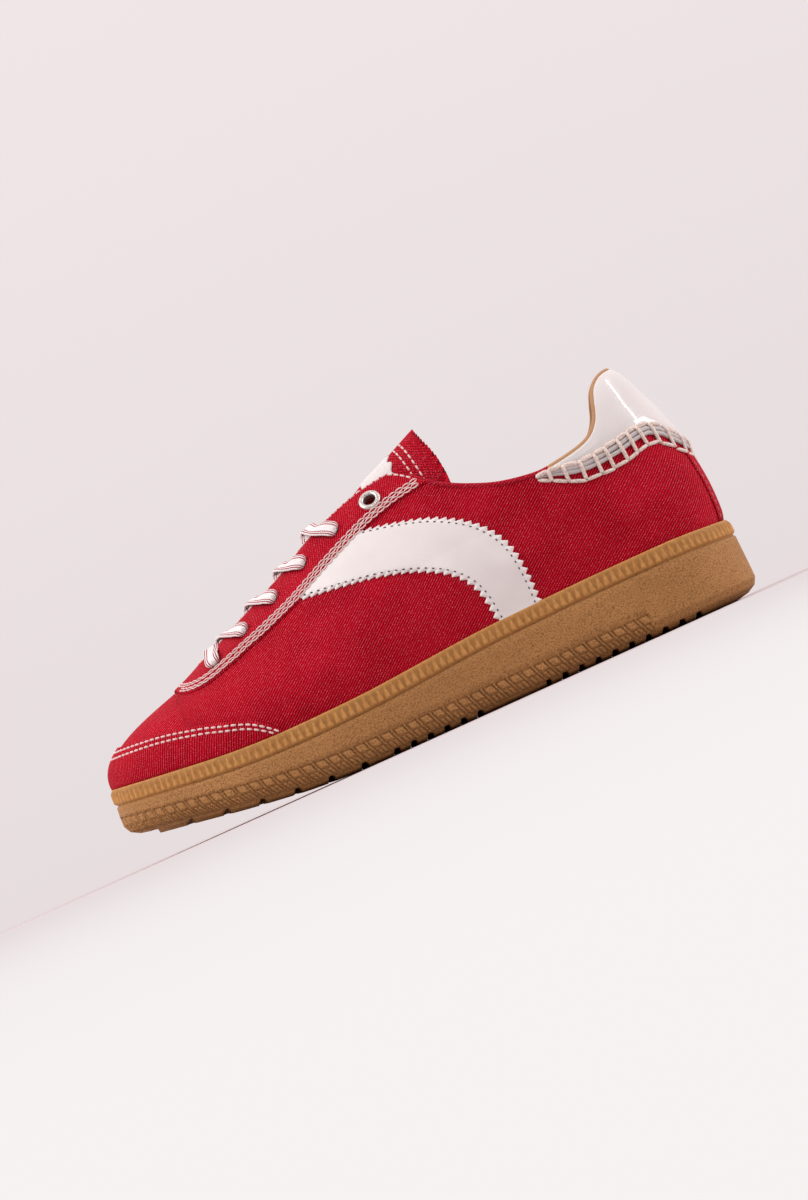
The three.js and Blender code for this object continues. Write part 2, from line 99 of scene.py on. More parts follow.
FACING_EDGE = [
    (97, 99.4), (103, 96.2), (109, 94.6), (122, 92.4), (135.8, 88.4), (155, 80.4),
    (176, 70.8), (202.8, 61.6), (217, 57.4), (226, 56.6), (232, 58.4), (236.5, 63),
]
TONGUE_RIDGE = {
    "x": [60, 90, 102, 112, 119, 131, 144, 159, 176, 194, 212, 236, 276],
    "ridge": [127.6, 122.2, 118, 113.6, 110.4, 105.4, 98.4, 91, 81.6, 73, 64.4, 54.4, 48],
}
TONGUE_TOP = [(105, 127), (102.2, 116.8), (98.9, 107), (97.2, 98.4), (98.2, 91.2), (101, 80)]
TONGUE_FRONT = 231.0
TONGUE_HALF = 27.0
TONGUE_INSET = 9.8
LACE_HOLES = [(130, 97.4), (148.4, 91.9), (165.2, 84.8), (181.6, 76.8), (197.8, 69.6), (213.4, 62.9)]
FIRST_LACED = 1
CREASES = {
    # Soft troughs in the canvas, as lines in side view on one side of the shoe or both (0).
    "x0": [181, 196, 212, 190, 101, 78, 52, 30, 150, 128, 226, 166, 90],
    "z0": [37, 36, 37, 70, 88, 76, 56, 44, 34, 58, 38, 66, 44],
    "x1": [190, 203, 214, 206, 88, 66, 47, 44, 168, 150, 226, 186, 106],
    "z1": [64, 58, 52, 52, 62, 52, 38, 40, 52, 46, 48, 44, 36],
    "depth": [0.9, 0.8, 0.55, 0.5, 0.7, 0.6, 0.55, 0.4, 0.6, 0.45, 0.4, 0.6, 0.45],
    "width": [4.5, 4.0, 4.0, 4.0, 6.5, 7.0, 6.0, 6.0, 5.5, 6.0, 4.0, 5.0, 6.0],
    "side": [0, 0, 0, -1, 1, 0, 0, 0, 0, 1, 0, 1, -1],
}
HEEL_TRIM = {
    # Heights of the blanket stitch's two threads, s along the canvas from the middle of the back.
    "s": [0, 8, 15, 20, 26, 31, 37, 43, 51, 58, 64, 69, 74, 78, 81],
    "low": [60, 61.8, 65, 68.6, 71.9, 72.1, 70.9, 69.4, 68.8, 69, 70, 71.9, 74.4, 76.4, 77.2],
    "high": [67.5, 69.6, 74, 78.4, 80.3, 80.2, 79.5, 78.4, 77.4, 76.9, 77.4, 78.4, 78.8, 78.6, 78.4],
}
TRIM_END = 79.5
TRIM_HEIGHT = 66.0
TRIM_PITCH = {"s": [0, 20, 31, 40, 52, 80], "pitch": [7.3, 6.2, 5.7, 6.2, 6.9, 6.6]}

# ---- Curves ----


def column(table, name, along="x"):
    """A smooth curve through a column of a table, level beyond its ends and where it turns."""
    at, value = np.array(table[along], float), np.array(table[name], float)
    last = len(at) - 1
    slope = np.zeros(last + 1)
    for i in range(last + 1):
        a, b = max(0, i - 1), min(last, i + 1)
        turns = a < i < b and (value[i] - value[a]) * (value[b] - value[i]) <= 0
        slope[i] = 0 if turns else (value[b] - value[a]) / (at[b] - at[a])

    def curve(x):
        x = np.clip(np.asarray(x, float), at[0], at[-1])
        i = np.clip(np.searchsorted(at, x, side="right") - 1, 0, last - 1)
        width = at[i + 1] - at[i]
        t = (x - at[i]) / width
        t2, t3 = t * t, t * t * t
        return (value[i] * (2 * t3 - 3 * t2 + 1) + slope[i] * width * (t3 - 2 * t2 + t)
                + value[i + 1] * (3 * t2 - 2 * t3) + slope[i + 1] * width * (t3 - t2))

    return curve


half_at, swing_at = column(PLAN, "half"), column(PLAN, "swing")
under_at, top_at = column(SOLE_SIDE, "under"), column(SOLE_SIDE, "top")
ridge_at, full_at = column(LAST, "ridge"), column(LAST, "full")
swell_at, flare_at = column(LAST, "swell"), column(LAST, "flare")
lean_at = column(HEEL_LEAN, "lean", "z")
throat_at = column(THROAT, "half")
tongue_ridge_at = column(TONGUE_RIDGE, "ridge")


def spline(rows, steps):
    """Points of a Catmull-Rom curve through the rows."""
    p = np.array(rows, float)
    t = np.linspace(0, len(p) - 1, steps + 1)
    i = np.minimum(t.astype(int), len(p) - 2)
    w = (t - i)[:, None]
    p0, p1, p2, p3 = p[np.maximum(i - 1, 0)], p[i], p[i + 1], p[np.minimum(i + 2, len(p) - 1)]
    v0, v1 = (p2 - p0) / 2, (p3 - p1) / 2
    return (2 * p1 - 2 * p2 + v0 + v1) * w**3 + (-3 * p1 + 3 * p2 - 2 * v0 - v1) * w**2 + v0 * w + p1


def height_of(rows):
    """Height of a side-view line at each x."""
    line = spline(rows, 400)
    order = np.argsort(line[:, 0])
    return lambda x: np.interp(x, line[order, 0], line[order, 1])


collar_z = height_of(COLLAR)
facing_z = height_of(FACING_EDGE)


def rounding(distance, reach, power):
    """From 0 at an end to 1 at its reach, as a rounded corner."""
    t = np.clip(1 - np.asarray(distance, float) / reach, 0, 1)
    return np.power(1 - np.power(t, power), 1 / power)


def smooth(t):
    t = np.clip(t, 0, 1)
    return t * t * (3 - 2 * t)


def unit(v):
    return v / np.maximum(np.linalg.norm(v, axis=-1, keepdims=True), 1e-12)


def pair(a, b):
    """Two coordinates side by side, over their common shape."""
    return np.stack(np.broadcast_arrays(a, b), -1)


def teeth(walked, pitch):
    """A zigzag between 0 and 1."""
    return np.abs((walked / pitch) % 1 - 0.5) * 2


def circle(sides):
    turn = np.arange(sides) * 2 * np.pi / sides
    return np.cos(turn), np.sin(turn)


def lengths(points, axis=0):
    """Distance walked along one axis of a line or grid of points."""
    walked = np.linalg.norm(np.diff(points, axis=axis), axis=-1)
    first = np.zeros_like(np.take(walked, [0], axis=axis))
    return np.cumsum(np.concatenate([first, walked], axis=axis), axis=axis)


def between(at, walked, table):
    """Each column of a table, interpolated at the same places."""
    return np.stack([np.interp(at, walked, table[:, k]) for k in range(table.shape[1])], -1)


def bisect(low, high, past):
    """Where past turns true between low and high, at each place."""
    for _ in range(40):
        mid = (low + high) / 2
        above = past(mid)
        low, high = np.where(above, low, mid), np.where(above, mid, high)
    return (low + high) / 2


# ---- The plan outline and the last's surface ----
# u runs along the outline: -1 at the toe, down the inner side to 0 at the heel, then up the outer
# side to 1 at the toe again. a is the angle up a section, 0 at the sole and pi/2 at the ridge.


def widest(u):
    turn = np.pi * np.asarray(u, float)
    x = LENGTH * (1 - np.cos(turn)) / 2
    half = half_at(x) * rounding(x, *HEEL_ROUND) * rounding(LENGTH - x, *TOE_ROUND)
    return np.stack([x, swing_at(x) + np.sign(np.sin(turn)) * half], -1)


def outline(u, inset):
    """Points of the plan outline moved in by inset, and the way out of the shoe there."""
    step = 0.006
    along = widest(u + step) - widest(u - step)
    out = unit(np.stack([-along[..., 1], along[..., 0]], -1))
    return widest(u) - np.asarray(inset)[..., None] * out, out


def towards_middle(p, share):
    """Plan points brought in to this share of their distance from the middle line."""
    return p[..., 0], swing_at(p[..., 0]) + (p[..., 1] - swing_at(p[..., 0])) * share


def relief(x, z, side):
    """How far the creases push the canvas out at a place in side view."""
    total = np.zeros(np.broadcast(x, z, side).shape)
    for x0, z0, x1, z1, depth, width, on in zip(*CREASES.values()):
        dx, dz = x1 - x0, z1 - z0
        t = np.clip(((x - x0) * dx + (z - z0) * dz) / (dx * dx + dz * dz), 0, 1)
        d = np.hypot(x - x0 - t * dx, z - z0 - t * dz) / width
        shape = -np.exp(-d * d) + 0.45 * np.exp(-((d - 1.7) ** 2) * 1.6)
        total = total + depth * shape * (1 if on == 0 else np.where(side * on > 0, 1, 0))
    return total


def skin(u, a, grow=0.0, creased=True):
    """Points of the last's surface, as the solids have it, with the creases pressed in."""
    u, a = np.broadcast_arrays(np.asarray(u, float), np.asarray(a, float))
    base, out = outline(u, SEAT - grow)
    toe = outline(np.array(1.0), SEAT - grow)[0][0]
    x, y = base[..., 0], base[..., 1]
    bottom = top_at(x)
    power = 2 / full_at(x)
    height = (ridge_at(x) + grow - bottom) * rounding(toe - x, *NOSE_ROUND)
    z = bottom + height * np.power(np.sin(a), power)
    across = np.power(np.maximum(np.cos(a), 0), power)
    swell = swell_at(x) * np.sin(np.pi * np.clip((z - bottom) / SWELL_HEIGHT, 0, 1))
    swell = swell + flare_at(x) * smooth((z - bottom) / FLARE_HEIGHT)
    shift = lean_at(z) * (1 - smooth(x / LEAN_REACH))
    fade = smooth((np.pi / 2 - a) / RIDGE_FADE)
    swell = swell * fade
    if creased:
        swell = swell + smooth((z - bottom) / 6) * fade * relief(x, z, np.sign(u))
    side = swing_at(x) + (y - swing_at(x)) * across
    return np.stack([x + shift + swell * out[..., 0], side + swell * out[..., 1], z], -1)


def angle_at(u, z):
    """The section angle at which the surface reaches a height."""
    x = outline(u, SEAT)[0][..., 0]
    bottom = top_at(x)
    height = (ridge_at(x) - bottom) * rounding(LENGTH - SEAT - x, *NOSE_ROUND)
    rise = np.clip((z - bottom) / np.maximum(height, 1e-6), 0, 1)
    return np.arcsin(np.power(rise, full_at(x) / 2))


def normal_at(u, a):
    """The way out of the surface."""
    du, da = 1e-3, 2e-3
    return unit(np.cross(skin(u, np.minimum(a + da, np.pi / 2)) - skin(u, a - da),
                         skin(u + du, a) - skin(u - du, a)))


def on_skin(u, z, lift):
    """A point lift above the canvas at height z, and the way out there."""
    u, z = np.broadcast_arrays(np.asarray(u, float), np.asarray(z, float))
    a = np.maximum(angle_at(u, z), 0.004)
    n, p = normal_at(u, a), skin(u, a)
    p[..., 2] = np.minimum(p[..., 2], np.maximum(z, p[..., 2] - CUP_DEPTH + 1))
    return p + np.asarray(lift)[..., None] * n, n


def u_at(x, z, side):
    """The outline parameter at which the surface shows at this x and z in side view."""
    x, z = np.broadcast_arrays(np.asarray(x, float), np.asarray(z, float))

    def past(u):
        return skin(u * side, angle_at(u * side, z), creased=False)[..., 0] >= x

    return side * bisect(np.zeros(x.shape), np.ones(x.shape), past)


def crossing(u, line, grow=0.0):
    """The section angle at which a side-view line crosses each column."""
    def past(a):
        p = skin(u, a, grow, creased=False)
        return p[..., 2] > line(p[..., 0])

    return bisect(np.zeros(u.shape), np.full(u.shape, np.pi / 2), past)


def top_angle(u, grow=0.0):
    """The section angle at which each column of the upper ends: collar, throat or ridge."""
    base, _ = outline(u, SEAT - grow)
    x, y = base[..., 0], base[..., 1]
    half = throat_at(x) * rounding(THROAT_END - x, THROAT_ROUND, 2.0)
    share = np.where(x < THROAT_END, half, 0.0) / np.maximum(np.abs(y - swing_at(x)), 1e-6)
    throat = np.arccos(np.power(np.clip(share, 0, 1), full_at(x) / 2))
    return np.minimum(np.where(x < THROAT_START, np.pi / 2, throat), crossing(u, collar_z, grow))


def walk_at(u, z):
    """Distance along the side of the shoe, at height z, from the middle of the heel."""
    return lengths(skin(u, angle_at(u, z), creased=False))


HEEL_U = np.linspace(0, 0.5, 800)
HEEL_WALK = walk_at(HEEL_U, TRIM_HEIGHT)
SIDE_U = np.linspace(0, 1, 600)
SIDE_WALK = walk_at(SIDE_U, 60.0)


def u_round_heel(s):
    return np.sign(s) * np.interp(np.abs(s), HEEL_WALK, HEEL_U)


def along_shoe(u):
    return np.interp(np.abs(u), SIDE_U, SIDE_WALK)


def trim_at(s, row):
    return np.interp(np.abs(s), HEEL_TRIM["s"], HEEL_TRIM[row])


# ---- Mesh making ----

EDGE_Y = widest(np.linspace(-1, 1, 2001))[:, 1]
SHIFT = np.array([-LENGTH / 2, -(EDGE_Y.min() + EDGE_Y.max()) / 2, 0.0])


def add_object(name, data):
    made = bpy.data.objects.new(name, data)
    bpy.context.scene.collection.objects.link(made)
    return made


def piece(name, points, faces, materials, slot, uv=None, replaces=(), face_slots=None, merge=None):
    """Makes one visible piece from points in millimetres, riding on the shoe's body."""
    mesh = bpy.data.meshes.new(name)
    points = (np.asarray(points, float).reshape(-1, 3) + SHIFT) / 1000.0
    mesh.from_pydata(points.tolist(), [], [list(map(int, f)) for f in faces])
    if uv is not None:
        layer = mesh.uv_layers.new(name="weave")
        corners = np.empty(len(mesh.loops), int)
        mesh.loops.foreach_get("vertex_index", corners)
        layer.data.foreach_set("uv", np.asarray(uv, float).reshape(-1, 2)[corners].ravel())
    for material in materials:
        mesh.materials.append(material)
    if face_slots is not None:
        mesh.polygons.foreach_set("material_index", np.asarray(face_slots, int))
    mesh.polygons.foreach_set("use_smooth", [True] * len(mesh.polygons))
    mesh.update()
    made = add_object(name, mesh)
    if merge:
        merge_close(mesh, merge)
    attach(made, "root")
    if replaces:
        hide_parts(*replaces)


def merge_close(mesh, distance):
    """Merges points closer than distance, in millimetres, and drops what collapses."""
    bm = bmesh.new()
    bm.from_mesh(mesh)
    bmesh.ops.remove_doubles(bm, verts=bm.verts, dist=distance / 1000.0)
    bmesh.ops.dissolve_degenerate(bm, edges=bm.edges, dist=1e-7)
    bm.to_mesh(mesh)
    bm.free()


def grid_faces(rows, columns, start=0, wrap=False, flip=False):
    """Quads of a grid of points stored row by row."""
    r, c = np.meshgrid(np.arange(rows - 1), np.arange(columns - (0 if wrap else 1)), indexing="ij")
    c2 = (c + 1) % columns
    quads = np.stack([r * columns + c, r * columns + c2, (r + 1) * columns + c2,
                      (r + 1) * columns + c], -1).reshape(-1, 4) + start
    return quads[:, ::-1] if flip else quads


def rings(count, sides, capped=True):
    """Faces round a row of rings of points, closed at both ends."""
    faces = [list(q) for q in grid_faces(count, sides, wrap=True, flip=True)]
    last = (count - 1) * sides
    caps = [list(range(sides)), [last + i for i in range(sides - 1, -1, -1)]]
    return faces + caps if capped else faces


def closed(low, high):
    """Two matching grids of points, low inside and high outside, joined into one thin body."""
    rows, columns = high.shape[:2]
    n = rows * columns
    ring = np.concatenate([
        np.arange(columns),
        np.arange(1, rows) * columns + columns - 1,
        (rows - 1) * columns + np.arange(columns - 2, -1, -1),
        np.arange(rows - 2, 0, -1) * columns,
    ])
    after = np.roll(ring, -1)
    faces = [grid_faces(rows, columns), grid_faces(rows, columns, n, flip=True),
             np.stack([after, ring, ring + n, after + n], -1)]
    return np.concatenate([high.reshape(-1, 3), low.reshape(-1, 3)]), np.concatenate(faces)


def sheet(name, low, high, material, uv=None, punched=False, **options):
    """A thin closed piece between two matching grids of points."""
    if uv is None:
        uv = pair(lengths(high, 1), lengths(high))
    points, faces = closed(low, high)
    if punched:
        points, kept = punch(points, faces)
        faces = faces[kept]
    piece(name, points, faces, [material], uv=np.concatenate([uv.reshape(-1, 2)] * 2), **options)


def square(normal, tangent):
    """Normals turned square to the tangents."""
    return unit(normal - (normal * tangent).sum(1, keepdims=True) * tangent)


def resample(points, normals, spacing):
    """Evenly spaced places along a path: centres, tangents and normals."""
    walked = lengths(points)
    count = max(1, int(walked[-1] / spacing))
    at = (np.arange(count) + 0.5) * walked[-1] / count
    tangent = unit(between(at + 0.4, walked, points) - between(at - 0.4, walked, points))
    return between(at, walked, points), tangent, square(between(at, walked, normals), tangent)


def thread_shape(sides, count, bow=0.0, sink=0.0):
    """A unit stitch along x: a round thread that bows sideways and dives at its ends."""
    t = np.linspace(-1, 1, count)[:, None]
    radius = np.sqrt(np.clip(1 - t**4, 0.0, 1))
    radius[[0, -1]] = 0.25
    cos, sin = circle(sides)
    y = radius * cos + bow * (1 - t**2)
    z = radius * sin - sink * (t**2) ** 2
    return np.stack([np.repeat(t, sides, 1), y, z], -1).reshape(-1, 3), rings(count, sides)


def copies(shape, centre, tangent, normal, half_length, width, height):
    """Copies of a unit shape set along a path, joined: x along, y across, z out."""
    base, faces = shape
    points = centre[:, None]
    for k, way, size in ((0, tangent, half_length), (1, np.cross(normal, tangent), width),
                         (2, normal, height)):
        points = points + base[None, :, k:k + 1] * (way * size)[:, None]
    copied = [[v + i * len(base) for v in f] for i in range(len(centre)) for f in faces]
    return points.reshape(-1, 3), copied


def join(parts):
    """Joins (points, faces) lists into one."""
    points, faces, start = [], [], 0
    for p, f in parts:
        points.append(p)
        faces += [[v + start for v in q] for q in f]
        start += len(p)
    return np.concatenate(points), faces


def tube(path, normals, half_width, half_height, sides=8):
    """A thread or cord along a path, as (points, faces)."""
    tangent = unit(np.gradient(path, axis=0))
    normal = square(normals, tangent)
    cos, sin = circle(sides)
    wide, high = (np.broadcast_to(v, (len(path),))[:, None] for v in (half_width, half_height))
    ring = (cos[:, None] * (np.cross(normal, tangent) * wide)[:, None]
            + sin[:, None] * (normal * high)[:, None])
    return (path[:, None] + ring).reshape(-1, 3), rings(len(path), sides)


# ---- Materials ----


class Nodes:
    """A short way to write a node tree."""

    def __init__(self, tree):
        self.nodes, self.links = tree.nodes, tree.links

    def node(self, kind, values=(), **settings):
        made = self.nodes.new(kind)
        for key, value in settings.items():
            setattr(made, key, value)
        for key, value in dict(values).items():
            self.put(made.inputs[key], value)
        return made

    def put(self, socket, value):
        if isinstance(value, bpy.types.NodeSocket):
            self.links.new(value, socket)
        else:
            socket.default_value = value

    def math(self, operation, *values):
        return self.node("ShaderNodeMath", enumerate(values), operation=operation).outputs[0]

    def add(self, a, b):
        return self.math("ADD", a, b)

    def less(self, a, b):
        return self.math("SUBTRACT", a, b)

    def times(self, a, b):
        return self.math("MULTIPLY", a, b)

    def wave(self, phase):
        """A sine that runs between 0 and 1."""
        return self.add(self.times(self.math("SINE", phase), 0.5), 0.5)

    def mix(self, factor, a, b):
        """Two colours mixed, each another node's or an 8-bit screen colour."""
        a, b = (colour(*v) if isinstance(v, tuple) else v for v in (a, b))
        return self.node("ShaderNodeMix", {0: factor, 6: a, 7: b}, data_type="RGBA").outputs[2]

    def noise(self, scale, detail, vector):
        values = {"Scale": scale, "Detail": detail, "Vector": vector}
        return self.node("ShaderNodeTexNoise", values).outputs["Fac"]

    def pebbles(self, scale, vector, **settings):
        values = {"Scale": scale, "Vector": vector}
        return self.node("ShaderNodeTexVoronoi", values, **settings).outputs["Distance"]

    def here(self):
        """Place in the row frame, in millimetres."""
        made = self.node("ShaderNodeTexCoord").outputs["Object"]
        return self.node("ShaderNodeVectorMath", {0: made, 1: (1000,) * 3}, operation="MULTIPLY").outputs[0]

    def weave(self):
        """The two coordinates along the cloth, in millimetres, together and apart."""
        made = self.node("ShaderNodeUVMap", uv_map="weave").outputs[0]
        return made, *self.node("ShaderNodeSeparateXYZ", {0: made}).outputs[:2]

    def ramp(self, value, low, high):
        return self.node("ShaderNodeMapRange", {0: value, 1: low, 2: high}, clamp=True,
                         interpolation_type="SMOOTHSTEP").outputs[0]

    def bump(self, height, distance, strength):
        """A bump map; distance in millimetres."""
        values = {"Height": height, "Distance": distance / 1000.0, "Strength": strength}
        return self.node("ShaderNodeBump", values).outputs[0]


class Shader(Nodes):
    """A material on the standard surface."""

    def __init__(self, name, roughness, **sockets):
        self.material = bpy.data.materials.new(name)
        self.material.use_nodes = True
        super().__init__(self.material.node_tree)
        self.body = self.nodes["Principled BSDF"]
        for key, value in dict(sockets, Roughness=roughness).items():
            self.body.inputs[key.replace("_", " ")].default_value = value

    def done(self, color, roughness=None, normal=None):
        for key, value in (("Base Color", color), ("Roughness", roughness), ("Normal", normal)):
            if value is not None:
                self.put(self.body.inputs[key], value)
        return self.material


def colour(red, green, blue):
    """An 8-bit screen colour as linear RGBA."""
    def linear(v):
        v /= 255.0
        return v / 12.92 if v <= 0.04045 else ((v + 0.055) / 1.055) ** 2.4
    return (linear(red), linear(green), linear(blue), 1.0)


TWILL_PITCH = 1.0
TWILL_SLANT = 38  # degrees; the ribs rise towards the heel
THREAD_PITCH = 0.9
CANVAS_RED = (212, 4, 36)
CANVAS_SHADE = (98, 0, 14)
CANVAS_BRIGHT = (230, 24, 54)
CANVAS_FLECK = (240, 102, 120)
LACE_LINES = (1.75, 2.75)  # how far from a lace's middle its red threads run


def canvas_material(name, slant=TWILL_SLANT, base=CANVAS_RED, dark=CANVAS_SHADE):
    m = Shader(name, 0.85, Specular_IOR_Level=0.1)
    uv, s, t = m.weave()
    sin, cos = math.sin(math.radians(slant)), math.cos(math.radians(slant))
    across = m.add(m.times(s, sin), m.times(t, cos))
    along = m.less(m.times(s, cos), m.times(t, sin))
    wander = m.times(m.noise(0.35, 2.0, uv), 0.5)
    phase = m.times(m.add(across, wander), 2 * math.pi / TWILL_PITCH)
    thread = m.wave(m.add(m.times(along, 2 * math.pi / THREAD_PITCH), m.times(phase, 0.5)))
    cloth = m.times(m.wave(phase), m.add(m.times(thread, 0.45), 0.55))
    fleck = m.times(m.ramp(m.noise(2.1, 1.0, uv), 0.55, 0.66), m.ramp(cloth, 0.2, 0.7))
    patch = m.ramp(m.noise(0.045, 3.0, uv), 0.3, 0.8)
    tone = m.mix(m.ramp(cloth, 0.05, 0.75), dark, base)
    tone = m.mix(m.times(patch, 0.18), tone, CANVAS_BRIGHT)
    tone = m.mix(m.times(fleck, 0.8), tone, CANVAS_FLECK)
    height = m.add(cloth, m.times(m.noise(3.0, 2.0, uv), 0.3))
    return m.done(tone, normal=m.bump(height, 0.16, 0.9))


def leather_material(name, base):
    m = Shader(name, 0.42, Specular_IOR_Level=0.25)
    here = m.here()
    cloud = m.noise(0.12, 3.0, here)
    tone = m.mix(cloud, tuple(c - 8 for c in base), base)
    height = m.add(m.pebbles(1.3, here), m.times(m.noise(0.5, 3.0, here), 0.8))
    return m.done(tone, m.add(m.times(cloud, 0.12), 0.36), m.bump(height, 0.05, 0.5))


def patent_material():
    m = Shader("patent", 0.22, Coat_Weight=1.0, Coat_Roughness=0.035, Specular_IOR_Level=0.5)
    here = m.here()
    wave = m.add(m.noise(0.09, 2.0, here), m.times(m.noise(0.6, 2.0, here), 0.05))
    tone = m.mix(m.noise(0.05, 2.0, here), (206, 199, 196), (216, 210, 208))
    return m.done(tone, normal=m.bump(wave, 0.8, 0.35))


def gum_material(name, base, dark, grain, depth):
    m = Shader(name, 0.62, Specular_IOR_Level=0.2)
    here = m.here()
    _, _, painted_recess_shade = m.weave()
    pebble = m.pebbles(grain, here, feature="SMOOTH_F1")
    fine = m.noise(grain * 1.7, 2.0, here)
    cloud = m.ramp(m.noise(0.03, 3.0, here), 0.35, 0.7)
    tone = m.mix(m.ramp(pebble, 0.1, 0.9), base, dark)
    tone = m.mix(m.times(cloud, 0.25), tone, dark)
    # painted shade in the sole's grooves and cut-in recesses: the weave map's second coordinate says how
    # much, darkening the tone towards a deeper copy of dark
    tone = m.mix(m.times(m.ramp(painted_recess_shade, 0.1, 1.0), 0.62), tone, tuple(0.62 * c for c in dark))
    height = m.less(m.times(fine, 0.6), pebble)
    return m.done(tone, m.add(m.times(fine, 0.2), 0.5), m.bump(height, depth, 0.8))


def thread_material(name, base, dark, streak):
    m = Shader(name, 0.7, Sheen_Weight=0.1, Specular_IOR_Level=0.3)
    fibre = m.noise(streak, 3.0, m.here())
    tone = m.mix(m.ramp(fibre, 0.3, 0.7), dark, base)
    return m.done(tone, normal=m.bump(fibre, 0.12, 0.7))


def lace_material():
    m = Shader("lace", 0.75, Sheen_Weight=0.15, Specular_IOR_Level=0.3)
    _, s, t = m.weave()
    weave = m.wave(m.add(m.times(s, 4.4), m.math("ABSOLUTE", m.times(t, 4.0))))
    away = m.math("ABSOLUTE", t)
    near, far = (m.math("ABSOLUTE", m.less(away, line)) for line in LACE_LINES)
    line = m.less(1.0, m.ramp(m.math("MINIMUM", near, far), 0.18, 0.3))
    tone = m.mix(m.times(weave, 0.6), (222, 213, 212), (252, 250, 249))
    tone = m.mix(line, tone, (150, 10, 34))
    return m.done(tone, normal=m.bump(weave, 0.16, 0.8))


def lining_material(name, base, dark, pitch):
    m = Shader(name, 0.85, Sheen_Weight=0.1, Specular_IOR_Level=0.2)
    uv, s, t = m.weave()
    one, other = (m.math("SINE", m.times(v, 2 * math.pi / pitch)) for v in (s, t))
    height = m.add(m.times(m.times(one, other), 0.5), m.noise(1.2, 3.0, uv))
    tone = m.mix(m.ramp(m.noise(0.08, 3.0, uv), 0.3, 0.7), dark, base)
    tone = m.mix(m.times(m.ramp(height, 0.2, 1.0), 0.3), dark, tone)
    return m.done(tone, normal=m.bump(height, 0.12, 0.8))


def metal_material():
    m = Shader("eyelet_metal", 0.3, Metallic=0.85)
    wear = m.noise(0.9, 3.0, m.here())
    tone = m.mix(m.ramp(wear, 0.3, 0.7), (190, 184, 178), (222, 217, 211))
    return m.done(tone, m.add(m.times(wear, 0.25), 0.18), m.bump(wear, 0.03, 0.4))


CANVAS = canvas_material("canvas")
CANVAS_FACING = canvas_material("canvas_facing", slant=62)
CANVAS_TONGUE = canvas_material("canvas_tongue", slant=-40)
CANVAS_EDGE = canvas_material("canvas_edge", base=(178, 14, 36), dark=(120, 4, 22))
BAND = leather_material("band_leather", (236, 230, 228))
PATENT = patent_material()
GUM = gum_material("gum_wall", (190, 137, 83), (136, 93, 52), 1.7, 0.3)
GUM_BEAD = gum_material("gum_bead", (204, 148, 84), (180, 124, 66), 0.6, 0.08)
RAFFIA = thread_material("raffia", (240, 226, 217), (196, 172, 160), 1.6)
WHITE_THREAD = thread_material("white_thread", (240, 220, 216), (218, 176, 174), 3.0)
DARK_THREAD = thread_material("dark_thread", (70, 48, 48), (34, 22, 24), 3.0)
SILVER = leather_material("silver_piping", (198, 190, 188))
PINK_THREAD = thread_material("pink_thread", (214, 120, 128), (160, 60, 72), 3.0)
LACE = lace_material()
LINING = lining_material("tan_lining", (206, 165, 122), (176, 132, 92), 0.9)
SOCK = lining_material("insole_cloth", (214, 180, 142), (190, 150, 112), 1.3)
METAL = metal_material()
LABEL = lining_material("label_cloth", (246, 242, 240), (226, 220, 218), 0.6)

# ---- Upper ----

HOLE_RADIUS = 3.1
PLAIN_RADIUS = 2.3
UPPER_U = np.linspace(-1, 1, 481)
UPPER_ROWS = 64
LINING_ROWS = 22
OPEN = 1.5  # a column that ends below this angle has an open edge
LIP_RISE = 0.35
LOWEST = 0.004  # the angles between which the way out of the surface is sound
HIGHEST = np.pi / 2 - 0.01
FACING_ENDS = ([103.0, 234.5], [96.0, 59.8])
FACING_ROWS = 26
TAB_PUFF = 0.5
STRIP_HALF = 12.6
STRIP = 0.6
ROLL_SPAN = 0.46
ROLL_FRONT = 112
ROLL_CANVAS = 59.0  # the roll is canvas ahead of here and lining behind
ROLL_SIDES = 12


def hole_places():
    """Each lace hole's place on the outer surface of the facing, the way out, and its radius."""
    places = {}
    for side in (1, -1):
        for i, (x, z) in enumerate(LACE_HOLES):
            point, out = on_skin(u_at([x], [z], side), [z], FACING)
            places[side, i] = point[0], out[0], HOLE_RADIUS if i < FIRST_LACED else PLAIN_RADIUS
    return places


HOLES = hole_places()


def punch(points, faces):
    """Takes the faces over each eyelet out of a mesh and rounds the edge that is left."""
    centre = points[faces].mean(1)
    gone = np.zeros(len(faces), bool)
    points = points.copy()
    for at, out, radius in HOLES.values():
        def away(p):
            along = (p - at) @ out
            flat = p - at - along[:, None] * out
            return along, flat, np.linalg.norm(flat, axis=1)
        along, _, d = away(centre)
        here = (d < radius - 0.1) & (np.abs(along) < 6)
        rim = np.intersect1d(np.unique(faces[here]), np.unique(faces[~here]))
        gone |= here
        _, flat, d = away(points[rim])
        points[rim] += flat * ((radius - d) / np.maximum(d, 0.2))[:, None]
    return points, ~gone


def angles(low, high, rows):
    """Rows of section angles, from low to high in each column."""
    t = np.linspace(0, 1, rows)[:, None]
    return low * (1 - t) + high * t


def skirted(grid):
    """A grid with one more row, straight down inside the sole's cup."""
    return np.concatenate([grid[:1] - [0, 0, CUP_DEPTH - 1], grid])


